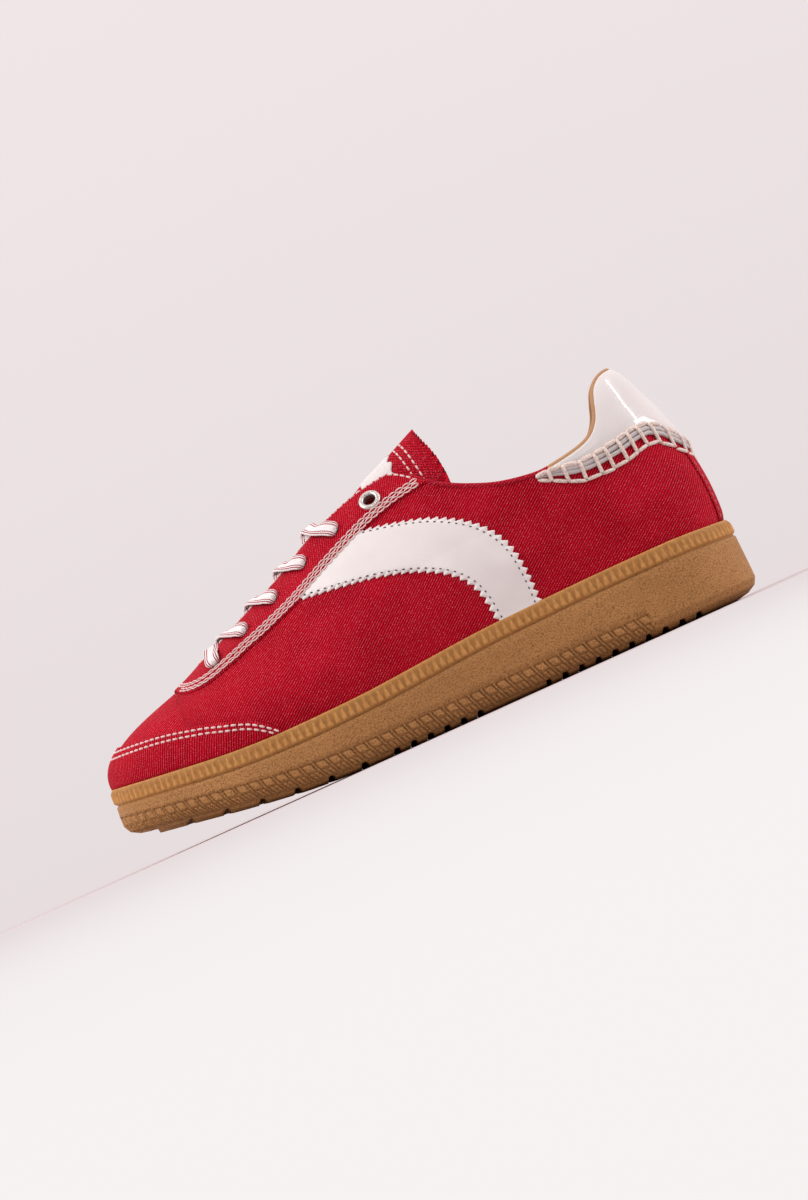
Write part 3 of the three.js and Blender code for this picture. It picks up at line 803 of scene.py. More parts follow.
def build_upper():
    """The canvas and its lining, one skin with a lip along the open edge."""
    u = UPPER_U
    top = top_angle(u)
    outer = skirted(skin(u, angles(0.0, top, UPPER_ROWS)))
    inner = skirted(skin(u, angles(0.0, top_angle(u, -WALL), LINING_ROWS), -WALL, creased=False))
    lip = outer[-1] * 0.5 + inner[-1] * 0.5
    lip[:, 2] += np.where(top < OPEN, LIP_RISE, 0)
    points = np.concatenate([outer.reshape(-1, 3), lip, inner.reshape(-1, 3)])
    columns, lip_at = len(u), len(outer) * len(u)
    in_at = lip_at + columns
    out_faces = grid_faces(len(outer), columns)
    in_faces = grid_faces(len(inner), columns, in_at, flip=True)
    i = np.arange(columns - 1)
    i = i[(top[:-1] < OPEN) | (top[1:] < OPEN)]
    edge, lining_edge = lip_at - columns + i, len(points) - columns + i
    rim = np.concatenate([
        np.stack([edge, edge + 1, lip_at + i + 1, lip_at + i], -1),
        np.stack([lip_at + i, lip_at + i + 1, lining_edge + 1, lining_edge], -1),
    ])
    faces = np.concatenate([out_faces, rim, in_faces])
    slots = np.repeat([0, 2, 1], [len(out_faces), len(rim), len(in_faces)])
    points, kept = punch(points, faces)
    uv = np.concatenate([pair(along_shoe(u), walked).reshape(-1, 2)
                         for walked in (lengths(outer), np.zeros(columns), lengths(inner))])
    piece("upper_shell", points, faces[kept], [CANVAS, LINING, CANVAS_EDGE], uv=uv, slot="canvas",
          replaces=["upper"], face_slots=slots[kept], merge=0.05)


def overlay(name, u, low, high, thick, material, rows, puff=0.0, along=None, **options):
    """A thin layer over the canvas between two angles of each column, with rounded edges."""
    a = angles(low, high, rows)
    grid, out = skin(u, a), normal_at(u, np.clip(a, LOWEST, HIGHEST))
    walked = lengths(grid)
    near = np.minimum(walked, walked[-1:] - walked)
    swell = thick * (0.35 + 0.65 * np.sqrt(np.clip(near / (thick * 0.9), 0, 1)))
    swell = swell + puff * smooth(near / 5.0)
    uv = pair(along_shoe(u) if along is None else along, walked)
    sheet(name, grid + UNDER * out, grid + (UNDER + swell)[..., None] * out, material, uv, **options)


def build_facing():
    """The canvas eyelet facing: one strip a side, meeting in front of the throat."""
    for side, name in ((1, "facing_outer"), (-1, "facing_inner")):
        u = np.linspace(*u_at(*FACING_ENDS, side), 151)
        top = top_angle(u)
        overlay(name, u, np.minimum(crossing(u, facing_z), top), top, FACING, CANVAS_FACING, FACING_ROWS,
                punched=True, slot="canvas", replaces=["eyestay"])


def build_tab():
    """The patent heel tab, from the collar down to the blanket stitch."""
    s = np.linspace(-TRIM_END, TRIM_END, 169)
    u = u_round_heel(s)
    top = top_angle(u)
    low = np.minimum(angle_at(u, trim_at(s, "high") - 1.0), top)
    overlay("heel_tab_patent", u, low, top, TAB, PATENT, FACING_ROWS, puff=TAB_PUFF, slot="patent",
            replaces=["heel_tab"])


def build_back_strip():
    """The canvas strip that covers the seam up the back, under the heel tab."""
    s = np.linspace(-STRIP_HALF, STRIP_HALF, 53)
    u = u_round_heel(s)
    overlay("back_strip", u, 0.0, angle_at(u, trim_at(s, "low") + 3.0), STRIP, CANVAS, 18, slot="canvas")


def build_collar_roll():
    """The rolled edge along the collar: lining round the heel tab, canvas ahead of it."""
    u = np.linspace(-ROLL_SPAN, ROLL_SPAN, 441)
    p = skin(u, top_angle(u))
    inner = skin(u, top_angle(u, -WALL), -WALL, creased=False)
    keep = p[:, 0] < ROLL_FRONT
    p, inner = p[keep], inner[keep]
    middle, out = (p + inner) / 2, unit(p - inner)
    points, faces = tube(middle + out * 0.1, out, 1.3, 1.6, ROLL_SIDES)
    ahead = np.repeat(p[:-1, 0] > ROLL_CANVAS, ROLL_SIDES)
    uv = pair(lengths(middle)[:, None], np.arange(ROLL_SIDES) * 0.6)
    piece("collar_roll", points, faces, [LINING, CANVAS_EDGE], uv=uv, slot="lining",
          face_slots=np.concatenate([ahead, [True, True]]))


# ---- Tongue ----

TONGUE_TEETH = 2.1
TONGUE_TOOTH = 1.7
TONGUE_LEAN = 1.3  # the inner side's edge hangs this much further forward
TONGUE_BACK = 102.0  # about where its top edge is; the exact place is found from here
TONGUE_ROWS = 60
TONGUE_COLUMNS = 433
LABEL_SPAN = (116.4, 131.0)
LABEL_HALF = 12.0
LABEL_WAVE = 0.8


def section_height(x, offset, ridge=ridge_at, inset=SEAT):
    """Height of a section's line at this x, offset from the middle."""
    bottom, full = top_at(x), full_at(x)
    width = half_at(x) * rounding(LENGTH - x, *TOE_ROUND) - inset
    share = np.clip(np.abs(offset) / width, 0, 1)
    return bottom + (ridge(x) - bottom) * np.power(1 - np.power(share, full), 1 / full)


def tongue_height(x, offset, depth=0.0):
    """Height of the tongue's top side, or of the surface at some depth under it."""
    return section_height(x, offset, lambda v: tongue_ridge_at(v) - depth, SEAT + TONGUE_INSET + depth)


def tongue_point(x, offset, lift):
    """A place on the tongue's top side and the way out."""
    x, offset = np.broadcast_arrays(np.asarray(x, float), np.asarray(offset, float))
    slope_x = tongue_height(x + 0.5, offset) - tongue_height(x - 0.5, offset)
    slope_y = tongue_height(x, offset + 0.5) - tongue_height(x, offset - 0.5)
    n = unit(np.stack([-slope_x, -slope_y, np.ones(x.shape)], -1))
    return np.stack([x, swing_at(x) + offset, tongue_height(x, offset)], -1) + lift * n, n


def build_tongue():
    """The tongue, its top edge cut in teeth."""
    offset = np.linspace(-TONGUE_HALF, TONGUE_HALF, TONGUE_COLUMNS)
    top = np.concatenate([spline(TONGUE_TOP, 200), [[TONGUE_FRONT, 30.0]]])
    top = top[np.argsort(top[:, 1])]
    start = np.full(offset.shape, TONGUE_BACK)
    for _ in range(30):
        start = 0.5 * start + 0.5 * np.interp(tongue_height(start, offset), top[:, 1], top[:, 0])
    walked = lengths(np.stack([start, offset, tongue_height(start, offset)], -1))
    walked = np.abs(walked - walked[TONGUE_COLUMNS // 2])
    start = start + TONGUE_TOOTH * teeth(walked, TONGUE_TEETH) + TONGUE_LEAN * smooth(-offset / 6)
    t = np.linspace(0, 1, TONGUE_ROWS)[:, None] ** 1.2
    x = start * (1 - t) + TONGUE_FRONT * t

    def layer(depth):
        y = swing_at(x) + offset
        return np.stack([x, y, tongue_height(x, offset, depth)], -1)[:, ::-1]

    high = layer(0.0)
    uv = pair(offset[::-1] + 40, lengths(high))
    sheet("tongue_canvas", layer(TONGUE), high, CANVAS_TONGUE, uv=uv, slot="canvas", replaces=["tongue"])


def build_label():
    """A plain cloth label on the tongue, its edge cut in a gentle wave."""
    t, across = np.linspace(0, 1, 14)[:, None], np.linspace(-1, 1, 60)
    back = LABEL_SPAN[0] + LABEL_WAVE * np.sin(across * 16) * (np.abs(across) < 0.98)
    x = back + (LABEL_SPAN[1] - back) * t
    low, high = (tongue_point(x, across * LABEL_HALF, lift)[0][:, ::-1] for lift in (UNDER, 0.55))
    sheet("tongue_label", low, high, LABEL, slot="lining")


# ---- Sole ----

RIB_PITCH = 3.2
RIB_RISE = 0.6
BAND_CUT = 0.9
CELL_PITCH = 5.7
BAND_LOW = 2.4
BAND_HIGH = 10.2
BAND_START = 46.0
BAND_SLANT = 3.6
TREAD_DEPTH = 2.6
TREAD_CHEVRON = 5.5
TREAD_SPAN = 60.0
TREAD_RUNS = [(24, 90, 7.4, 3.2), (121, 154, 7.4, 3.2), (158, 258, 14.2, 3.4)]  # start, end, pitch, groove
TREAD_INSET = 11.0
TREAD_SHARES = (0.0, 0.25, 0.5, 0.75, 0.9)
# painted shade in the tread's grooves: how far a groove's floor is darkened
TREAD_PAINTED_SHADE = 0.35
BEAD_DEPTH = 7.0  # the bead's rubber reaches this far down from the top edge
SOLE_COLUMNS = 1480

SOLE_SECTION = [
    # inset, height above the tread, depth below the top edge (one of the two), rows up to the next
    (TREAD_INSET, 0.0, None, 3),
    (5.4, 1.2, None, 3),
    (1.8, 3.2, None, 6),
    (0.2, 6.2, None, 10),
    (0.25, 10.6, None, 5),
    (0.7, None, 7.6, 2),
    (1.6, None, 6.9, 2),
    (0.8, None, 6.2, 9),
    (1.0, None, 1.2, 3),
    (1.5, None, 0.25, 1),
    (1.8, None, 0.0, 1),
    (RIM, None, 0.0, 1),
    (RIM, None, CUP_DEPTH, 1),
]
TREAD_TOP = 4  # a row of the section that starts below this height follows the tread
INSOLE_INSET = SEAT + WALL + 0.5
INSOLE_ROWS = [
    # share of the way out from the middle line, height over the cup's floor
    (1.0, 0.3), (1.0, 3.0), (0.98, 3.8), (0.93, 4.2), (0.8, 4.0), (0.5, 4.0), (0, 4.0),
]


def tread_gap(x, y):
    """How deep the tread's grooves are here, from 0 on a lug to 1 in a groove."""
    place = x - TREAD_CHEVRON * (1 - np.abs(y) / TREAD_SPAN)
    depth = np.zeros(x.shape)
    for start, end, pitch, groove in TREAD_RUNS:
        at = (place - start) % pitch
        inside = smooth(at / 0.5) * smooth((groove - at) / 0.5)
        depth = np.maximum(depth, np.where((place >= start) & (place <= end + groove), inside, 0))
    return depth


def bar(value, half, soft):
    """1 where value is within half of 0, falling to 0 over soft."""
    return smooth((half - np.abs(value)) / soft + 0.5)


def band(s, up, x):
    """The ladder of little blocks along the lower edge: how far it is cut in."""
    height = (up - BAND_LOW) / (BAND_HIGH - BAND_LOW)
    lean = BAND_SLANT * (1 - np.clip(height, 0, 1)) ** 1.3
    cell = ((s + lean) / CELL_PITCH) % 1 - 0.5
    upper = bar(cell, 0.31, 0.08) * bar(height - 0.74, 0.19, 0.08)
    lower = bar(np.abs(cell) - 0.17, 0.12, 0.08) * bar(height - 0.29, 0.17, 0.08)
    rib = bar(np.abs(cell) - 0.5, 0.065, 0.06)
    inside = bar(height - 0.5, 0.5, 0.05) * smooth((x - BAND_START) / 1.5)
    return inside * (1 - np.clip(upper + lower + rib, 0, 1))


def beads(s, down):
    """The pointed ribs of the bead under the top edge."""
    width = 0.8 - 0.66 * np.clip((6.0 - down) / 5.0, 0, 1)
    inside = smooth((6.3 - down) / 0.5) * smooth((down - 0.9) / 0.5)
    return inside * smooth((width - teeth(s, RIB_PITCH)) / 0.28)


def build_sole():
    """The cup sole: a closed skin of rows from the middle of the tread to the cup's floor."""
    fine = np.linspace(-1, 1, 4001)
    walked = lengths(outline(fine, 0.0)[0])
    s = np.arange(SOLE_COLUMNS) * walked[-1] / SOLE_COLUMNS
    u = np.interp(s, walked, fine)
    s_rib = s / walked[-1] * round(walked[-1] / RIB_PITCH) * RIB_PITCH
    s = np.abs(s - walked[2000])
    rows, painted_shades = [], []
    for share in TREAD_SHARES:
        x, y = towards_middle(outline(u, TREAD_INSET)[0], share)
        gap = tread_gap(x, y)
        rows.append([x, y, under_at(x) + TREAD_DEPTH * gap])
        # painted shade, darker the deeper the groove
        painted_shades.append(TREAD_PAINTED_SHADE * gap)
    x = widest(u)[:, 0]
    top, under = top_at(x), under_at(x)
    for (inset, up, down, steps), (inset2, up2, down2, _) in zip(SOLE_SECTION, SOLE_SECTION[1:]):
        z0 = under + up if down is None else top - down
        z1 = under + up2 if down2 is None else top - down2
        for t in np.arange(steps) / steps:
            z = z0 * (1 - t) + z1 * t
            cut, painted_shade = inset * (1 - t) + inset2 * t, np.zeros(x.shape)
            if min(inset, inset2) < RIM:
                ladder, ribs = band(s, z - under, x), beads(s_rib, top - z)
                cut = cut + BAND_CUT * ladder - RIB_RISE * ribs
                # painted shade: the ladder's cut-in cells, the hollows between the bead's ribs and the
                # groove under the bead are darkened
                painted_shade = 0.6 * ladder + 0.6 * bar(top - z - 3.4, 3.0, 0.8) * (1 - ribs)
                painted_shade = np.maximum(painted_shade, 0.5 * bar(top - z - 6.9, 0.5, 0.4))
            px, py = outline(u, cut)[0].T
            if down is None and up < TREAD_TOP:
                z = np.maximum(z, under_at(px) + TREAD_DEPTH * tread_gap(px, py))
            rows.append([px, py, z])
            painted_shades.append(painted_shade)
    for share in (1.0, 0.0):
        x, y = towards_middle(outline(u, RIM)[0], share)
        rows.append([x, y, top_at(x) - CUP_DEPTH])
        painted_shades.append(np.zeros(SOLE_COLUMNS))
    grid = np.array(rows).transpose(0, 2, 1)
    # the weave map's second coordinate carries the painted shade to the rubber's material
    uv = pair(s, np.array(painted_shades))
    faces = grid_faces(len(rows), SOLE_COLUMNS, wrap=True)
    down = (top_at(grid[..., 0]) - grid[..., 2]).reshape(-1)[faces].mean(1)
    on_wall = np.arange(len(faces)) // SOLE_COLUMNS > 8
    piece("sole_rubber", grid, faces, [GUM, GUM_BEAD], uv=uv, slot="gum_rubber",
          replaces=["sole"], face_slots=(down < BEAD_DEPTH) & on_wall)


def build_insole():
    p = outline(np.linspace(-1, 1, 241)[:-1], INSOLE_INSET)[0]
    rows = []
    for share, rise in INSOLE_ROWS:
        x, y = towards_middle(p, share)
        rows.append([x, y, top_at(x) - CUP_DEPTH + rise])
    grid = np.array(rows).transpose(0, 2, 1)
    piece("insole_sock", grid, grid_faces(len(rows), len(p), wrap=True), [SOCK], uv=grid[..., :2] + 50,
          slot="lining", replaces=["insole"], merge=0.01)


# ---- Eyelets and lace ----

EYELET_SIDES = 36
EYELET_PROFILE = [  # radius and height over the facing
    (2.55, -3.6), (2.55, 0.2), (2.7, 0.66), (3.1, 0.95), (3.7, 0.96), (4.4, 0.7), (4.8, 0.14),
    (4.7, -0.05), (3.0, -0.05), (3.0, -3.6),
]
LACED = range(FIRST_LACED, len(LACE_HOLES))
LACE_HALF = 3.5
LACE_THICK = 0.6
LACE_RUN = [
    # distance from the hole's middle along the lace, height over the facing, share of the width
    (0.2, -3.0, 0.45), (-0.3, -0.6, 0.5), (-1.0, 0.7, 0.68), (-1.2, 1.5, 0.9), (-0.2, 2.2, 1.0),
    (2.6, 2.3, 1.0), (5.0, 2.0, 1.0),
]
LACE_LEAD = 7.5  # how far towards the toe a lace has got where it passes the throat's edge
LACE_DIVE = 12.0  # and where it dives under the facing on the far side
LACE_CROWN = 0.0035
LACE_RISE = {1: 1.6, -1: 0.1, "last": 1.9}  # one side's crossings lie over the other's
LACE_SECTION = np.array([
    # place across and out, as shares of the half width and of the thickness
    (-1, 0), (-0.94, 0.75), (-0.7, 1), (-0.35, 0.9), (0, 1), (0.35, 0.9), (0.7, 1), (0.94, 0.75),
    (1, 0), (0.94, -0.75), (0.5, -1), (-0.5, -1), (-0.94, -0.75),
])
MIRROR = np.array([1, -1, 1])


def joined(name, parts, material, **options):
    """Makes one piece of many (points, faces) lists."""
    points, faces = join(parts)
    piece(name, points, faces, [material], **options)


def build_eyelets():
    """The metal rings of the top pair of holes."""
    cos, sin = (v[:, None] for v in circle(EYELET_SIDES))
    parts = []
    for side in (1, -1):
        at, out, _ = HOLES[side, 0]
        a = unit(np.cross(out, [0, 0, 1.0]))
        ring = cos * a + sin * np.cross(out, a)
        grid = np.array([at + out * h + r * ring for r, h in EYELET_PROFILE + EYELET_PROFILE[:1]])
        parts.append((grid.reshape(-1, 3), rings(len(grid), EYELET_SIDES, capped=False)))
    joined("eyelet_rings", parts, METAL, slot="eyelet_metal", replaces=["eyelet_outer", "eyelet_inner"],
           merge=0.001)


def throat_point(x, side, lift):
    """A place at the throat's edge, lift above the canvas, and the way out there."""
    edge = throat_at(x) + 0.4
    slope = (section_height(x, edge + 0.5) - section_height(x, edge - 0.5)) * side
    out = unit(np.array([0.0, -slope, 1.0]))
    return np.array([x, swing_at(x) + side * edge, section_height(x, edge)]) + lift * out, out


def lace_path(i, side):
    """One crossing: up out of its eyelet, over the near facing, the throat, under the far facing.

    Rows of place, way out and share of the full width. The foremost crossing goes straight across
    and down through the far eyelet.
    """
    x, last = LACE_HOLES[i][0], i == LACED[-1]
    at, out, _ = HOLES[side, i]
    over, over_out = throat_point(x + (0 if last else LACE_LEAD), side, FACING + 0.9)
    towards = unit(over - at)
    rows = [(at + towards * d + out * (h - 0.2), out if h > 1 else out * 0.3 - towards, w)
            for d, h, w in LACE_RUN]
    x_mid = x if last else x + (LACE_LEAD + LACE_DIVE) / 2
    z_mid = ridge_at(x_mid) - LACE_CROWN * throat_at(x_mid) ** 2 + LACE_RISE["last" if last else side]
    middle, middle_out = np.array([x_mid, swing_at(x_mid), z_mid]), np.array([0.3, 0, 1.0])
    rows += [(over, over_out, 1.0), (middle, middle_out, 1.0)]
    if last:
        return rows + [(p * MIRROR + [0, 2 * swing_at(p[0]), 0], n * MIRROR, w) for p, n, w in rows[-2::-1]]
    hole, hole_out, _ = HOLES[-side, i + 1]
    return rows + [(*throat_point(x + LACE_DIVE, -side, -WALL - 1.0), 0.95),
                   (hole - hole_out * (FACING + WALL + 1.4), hole_out, 0.85)]


def ribbon(line, normal, half, thick):
    """A flat braid along a line: rounded edges, with the place across it as a coordinate."""
    tangent = unit(np.gradient(line, axis=0))
    normal = square(normal, tangent)
    across, out = np.cross(normal, tangent) * half[:, None], normal * thick[:, None]
    points = line[:, None] + across[:, None] * LACE_SECTION[:, :1] + out[:, None] * LACE_SECTION[:, 1:]
    uv = pair(lengths(line)[:, None], LACE_SECTION[:, 0] * LACE_HALF)
    return points.reshape(-1, 3), rings(len(line), len(LACE_SECTION)), uv.reshape(-1, 2)


def build_lace():
    """The crossings of the lace: two at each row of eyelets, and one at the foremost."""
    made = []
    for i, side in [(i, side) for i in LACED for side in (1, -1)][:-1]:
        path, normal, width = (np.array(v, float) for v in zip(*lace_path(i, side)))
        rows, steps = np.arange(len(path)), 12 * (len(path) - 1)
        t = np.linspace(0, rows[-1], steps + 1)
        share = np.interp(t, rows, width)
        thick = LACE_THICK * (1 + 0.9 * np.clip(1 - share, 0, 1))
        made.append(ribbon(spline(path, steps), between(t, rows, normal), LACE_HALF * share, thick))
    joined("lace_crossings", [m[:2] for m in made], LACE, uv=np.concatenate([m[2] for m in made]),
           slot="lace_cotton", replaces=[f"lace_bar_{i}" for i in LACED])


# ---- Stitches ----


def stitches(p, n, pitch, length, width, height=None, sink=0.9):
    """A row of stitches along a path, as (points, faces)."""
    c, along, out = resample(p, n, pitch)
    shape = thread_shape(8, 7, sink=sink)
    return copies(shape, c, along, out, length / 2, width / 2, (height or width) / 2)


def chain(p, n, pitch, width):
    """A chain stitch: two threads side by side that bow apart in each loop."""
    c, along, out = resample(p, n, pitch)
    across = np.cross(out, along)
    shape = thread_shape(8, 9, bow=2.3, sink=0.3)
    return join([copies(shape, c + across * 0.12 * sign, along * sign, out, pitch * 0.56, width, width)
                 for sign in (1, -1)])


def shifted(rows, distance):
    """A side-view line moved sideways, to the left of its run."""
    line = spline(rows, 200)
    along = unit(np.gradient(line, axis=0))
    return line + distance * np.stack([-along[:, 1], along[:, 0]], -1)


def laid(line, side, lift):
    """A side-view line as points lifted off the canvas."""
    return on_skin(u_at(line[:, 0], line[:, 1], side), line[:, 1], lift)


# ---- Straps, toe overlay ----

STRAP = {
    # The plain side strap's two edges in side view, from the facing down to the sole.
    "front": [(176, 72.5), (158, 70.4), (140, 67.5), (124, 62.5), (112, 55), (106, 45), (104, 29)],
    "back": [(139, 88.6), (124, 85.6), (108, 80.5), (94, 71.5), (86, 60), (83.5, 46), (83.5, 29)],
}
STRAP_COLUMNS = 560
STRAP_ROWS = 15
STRAP_WIDTH = 20
STRAP_TEETH = 3.4
STRAP_TOOTH = 1.9
STRAP_SEAM = 3.1
TOE_START = (197.5, 25.5)
TOE_EDGE = [
    (197.5, 25), (201, 30), (207, 35), (214.7, 38.6), (228, 42.8), (245, 46.6), (262, 48.4), (276, 48.8),
]


def build_strap(side, name):
    """A white leather strap with pinked edges, and the dark stitches inside them."""
    back, front = (spline(STRAP[edge], STRAP_COLUMNS - 1) for edge in ("back", "front"))
    t = np.linspace(0, 1, STRAP_ROWS)[:, None]
    grid = back * (1 - t[..., None]) + front * t[..., None]
    apart = unit(grid[-1] - grid[0])
    for row, line, sign in ((0, back, 1), (-1, front, -1)):
        push = STRAP_TOOTH * teeth(lengths(line), STRAP_TEETH)[:, None] * sign * apart
        grid[row] += push
        grid[row + sign] += push * 0.55
    x, z = grid[..., 0], grid[..., 1]
    u = u_at(x, z, side)
    lift = 0.12 + 0.85 * np.sqrt(np.clip(np.minimum(t, 1 - t) * STRAP_WIDTH / 1.2, 0.12, 1))
    turned = slice(None, None, -side)
    low, high = (on_skin(u, z, rise)[0][:, turned] for rise in (UNDER, lift))
    sheet(name, low, high, BAND, slot="lining")
    seams = [laid(line + apart * inward, side, 0.95)
             for line, inward in ((back, STRAP_SEAM), (front, -STRAP_SEAM))]
    joined(name + "_stitches", [stitches(p, n, *THREADS["strap"]) for p, n in seams], DARK_THREAD,
           slot="lace_cotton")


def toe_edge():
    """The top edge of the mudguard, from the sole on the outer side round to the inner side."""
    x_edge, z_edge = spline(TOE_EDGE, 400).T
    half, z = np.linspace(u_at(*TOE_START, 1), 1, 260), 45.0
    for _ in range(5):
        z = np.interp(skin(half, angle_at(half, z), creased=False)[:, 0], x_edge, z_edge)
    return np.concatenate([half, -half[-2::-1]]), np.concatenate([z, z[-2::-1]])


def build_toe():
    """The canvas mudguard round the toe."""
    u, z = toe_edge()
    overlay("toe_guard", u, 0.0, angle_at(u, z), 1.0, CANVAS_FACING, 22,
            along=lengths(outline(u, 0.0)[0]), slot="canvas")


# ---- Seams and heel trim ----

THREADS = {
    # pitch, length and width of each row of stitches, and where it differs the height and the dive
    "throat": (3.0, 2.5, 0.85),
    "tongue": (3.2, 2.6, 0.8),
    "toe": (3.0, 2.5, 0.9),
    "back": (2.9, 2.2, 0.7),
    "strap": (2.9, 1.2, 0.54, 0.6, 0.6),
}
CHAIN = (3.3, 0.3)  # pitch and thread radius
FACING_SEAMS = (0.9, 2.7)
FACING_SEAM_ENDS = (109, 231)
THROAT_SEAM_ENDS = ([111.0, 221.0], [96.0, 62.0])
THROAT_SEAM = 1.4
TONGUE_SEAMS = ((110.6, 106.0), (113.6, 109.0))  # x in the middle and at the ends
TONGUE_SEAM_HALF = 20.0
TOE_SEAMS = (1.8, 3.8)
BACK_SEAM = 11.3
BACK_SEAM_SPAN = (59, 33)
BACK_SEAM_TAPER = 0.03
TRIM_ROWS = (("high", 1.5, 2.1, 1.9), ("low", 0.55, 1.6, 1.4))  # row, lift, width and height
TRIM_JITTER = 0.6
TRIM_WOBBLE = 0.15
TRIM_SLANT = 0.4
TRIM_SINK = (81, 8, 0.3)  # a stitch's lift fades over 8 mm before s = 81, to no less than this share
UPRIGHT = (0.85, 0.66)  # half width and half height
TRIM_LIFT = ([0, 0.2, 0.55, 0.8, 1], [0.4, 0.7, 1.6, 2.2, 1.6])  # of an upright, up its length
PIPINGS = ((0.22, 1.05), (0.45, 0.9))  # share of the way down the trim, radius


def build_stitches():
    """The white rows on facing, tongue and toe guard, and the pink ones up the back strip."""
    parts = []
    for side in (1, -1):
        for inside in FACING_SEAMS:
            line = shifted(FACING_EDGE, inside)
            line = line[(line[:, 0] > FACING_SEAM_ENDS[0]) & (line[:, 0] < FACING_SEAM_ENDS[1])]
            parts.append(chain(*laid(line, side, FACING + 0.25), *CHAIN))
        u = np.linspace(*u_at(*THROAT_SEAM_ENDS, side), 400)
        top = top_angle(u)
        per_radian = np.linalg.norm(skin(u, top) - skin(u, top - 0.05), axis=-1) / 0.05
        a = top - THROAT_SEAM / np.maximum(per_radian, 1)
        n = normal_at(u, a)
        parts.append(stitches(skin(u, a) + (FACING + 0.2) * n, n, *THREADS["throat"]))
    share = np.linspace(-1, 1, 160)
    for x_top, x_low in TONGUE_SEAMS:
        x = x_top - (x_top - x_low) * np.abs(share) ** 1.3
        parts.append(stitches(*tongue_point(x, share * TONGUE_SEAM_HALF, 0.15), *THREADS["tongue"]))
    u, z = toe_edge()
    for drop in TOE_SEAMS:
        p, n = on_skin(u, z - drop, 1.15)
        keep = (z - drop > top_at(p[:, 0]) + 0.3) & (skin(u, np.pi / 2)[:, 2] > z - drop + 0.3)
        parts.append(stitches(p[keep], n[keep], *THREADS["toe"]))
    joined("white_stitches", parts, WHITE_THREAD, slot="lace_cotton")
    z = np.linspace(*BACK_SEAM_SPAN, 60)
    s = BACK_SEAM - (BACK_SEAM_SPAN[0] - z) * BACK_SEAM_TAPER
    seams = [on_skin(u_round_heel(side * s), z, 0.7) for side in (1, -1)]
    joined("back_seam_stitches", [stitches(p, n, *THREADS["back"]) for p, n in seams], PINK_THREAD,
           slot="lace_cotton")


def build_heel_trim():
    """The blanket stitch round the heel, over a silver piping."""
    places = [0.5 * TRIM_PITCH["pitch"][0]]
    while places[-1] < TRIM_END:
        places.append(places[-1] + np.interp(places[-1], TRIM_PITCH["s"], TRIM_PITCH["pitch"]))
    half = np.array(places[:-1])
    places = np.concatenate([[-TRIM_END], -half[::-1], half, [TRIM_END]])
    places[1:-1] += RANDOM.uniform(-TRIM_JITTER, TRIM_JITTER, len(places) - 2)
    end, fade, least = TRIM_SINK
    parts = []
    for row, lift, width, height in TRIM_ROWS:
        for at, gap in zip((places[1:] + places[:-1]) / 2, np.diff(places)):
            run = np.array([at - 0.3, at, at + 0.3])
            z = trim_at(run, row) + RANDOM.uniform(-TRIM_WOBBLE, TRIM_WOBBLE)
            q, m = on_skin(u_round_heel(run), z, lift)
            along = unit(q[2] - q[0])
            q = q - (1 - np.clip((end - abs(at)) / fade, least, 1)) * lift * m
            parts.append(copies(thread_shape(10, 9, sink=0.9), q[1:2], along[None], m[1:2],
                                gap / 2 + 0.3, width / 2, height / 2))
    for at in places[1:-1]:
        z0, z1 = trim_at(at, "low"), trim_at(at, "high")
        slant = np.linspace(RANDOM.uniform(-TRIM_SLANT, TRIM_SLANT), 0, 10)
        lift = np.interp(np.linspace(0, 1, 10), *TRIM_LIFT) * np.clip((z1 - z0) / 6.0, least, 1)
        parts.append(tube(*on_skin(u_round_heel(at + slant), np.linspace(z0, z1, 10), lift), *UPRIGHT))
    joined("heel_blanket_stitch", parts, RAFFIA, slot="lace_cotton")
    s = np.linspace(-TRIM_END, TRIM_END, 640)
    high, low = trim_at(s, "high"), trim_at(s, "low")
    parts = []
    for share, radius in PIPINGS:
        size = radius * np.clip((high - low - 1.0) / 6.0, 0.1, 1)
        p, n = on_skin(u_round_heel(s), high - share * (high - low), 0.75 * size)
        parts.append(tube(p, n, size, size, sides=10))
    joined("heel_piping", parts, SILVER, slot="patent")


# ---- Camera, light and stage ----

PALE = (250, 240, 241)
# the floor's glow nearest the camera, brighter than the backdrop as painted light
NEAR_FLOOR_PAINTED_LIGHT = (247, 242, 242)
FAR_FLOOR = (231, 221, 222)
SHADED_FLOOR = (196, 188, 188)
FLOOR_SIDES = 96
FLOOR_RADIUS = 6.0
SKY = 0.44  # brightness of the surroundings, and what is added towards the ends, back and top
SKY_ENDS = 0.5
SKY_BACK = 0.39
SKY_TOP = 0.74
ROLL = math.radians(24.3)
EYE = Vector((-0.004, 3.0, 0.012))
TARGET = Vector((-0.004, 0.0, 0.056))
VIEW_WIDTH = 0.328
LIGHTS = [
    # name, place, target, long axis, width, length, watts
    ("key", (1.0, 0.35, 1.1), (0, 0, 0.05), (0, 0, 1), 0.6, 0.6, 9.5),
    ("rear", (-1.4, 0.15, 0.5), (-0.1, 0, 0.05), (0, 0, 1), 0.5, 0.5, 4.0),
    ("heel_streak", (-1.0, 0.12, 0.72), (-0.12, 0.02, 0.09), (0.43, -0.66, 0.66), 0.05, 1.3, 2.0),
    ("collar_streak", (-0.05, 0.9, 0.85), (-0.1, 0.02, 0.09), (1, 0, 0), 0.04, 0.8, 1.2),
]


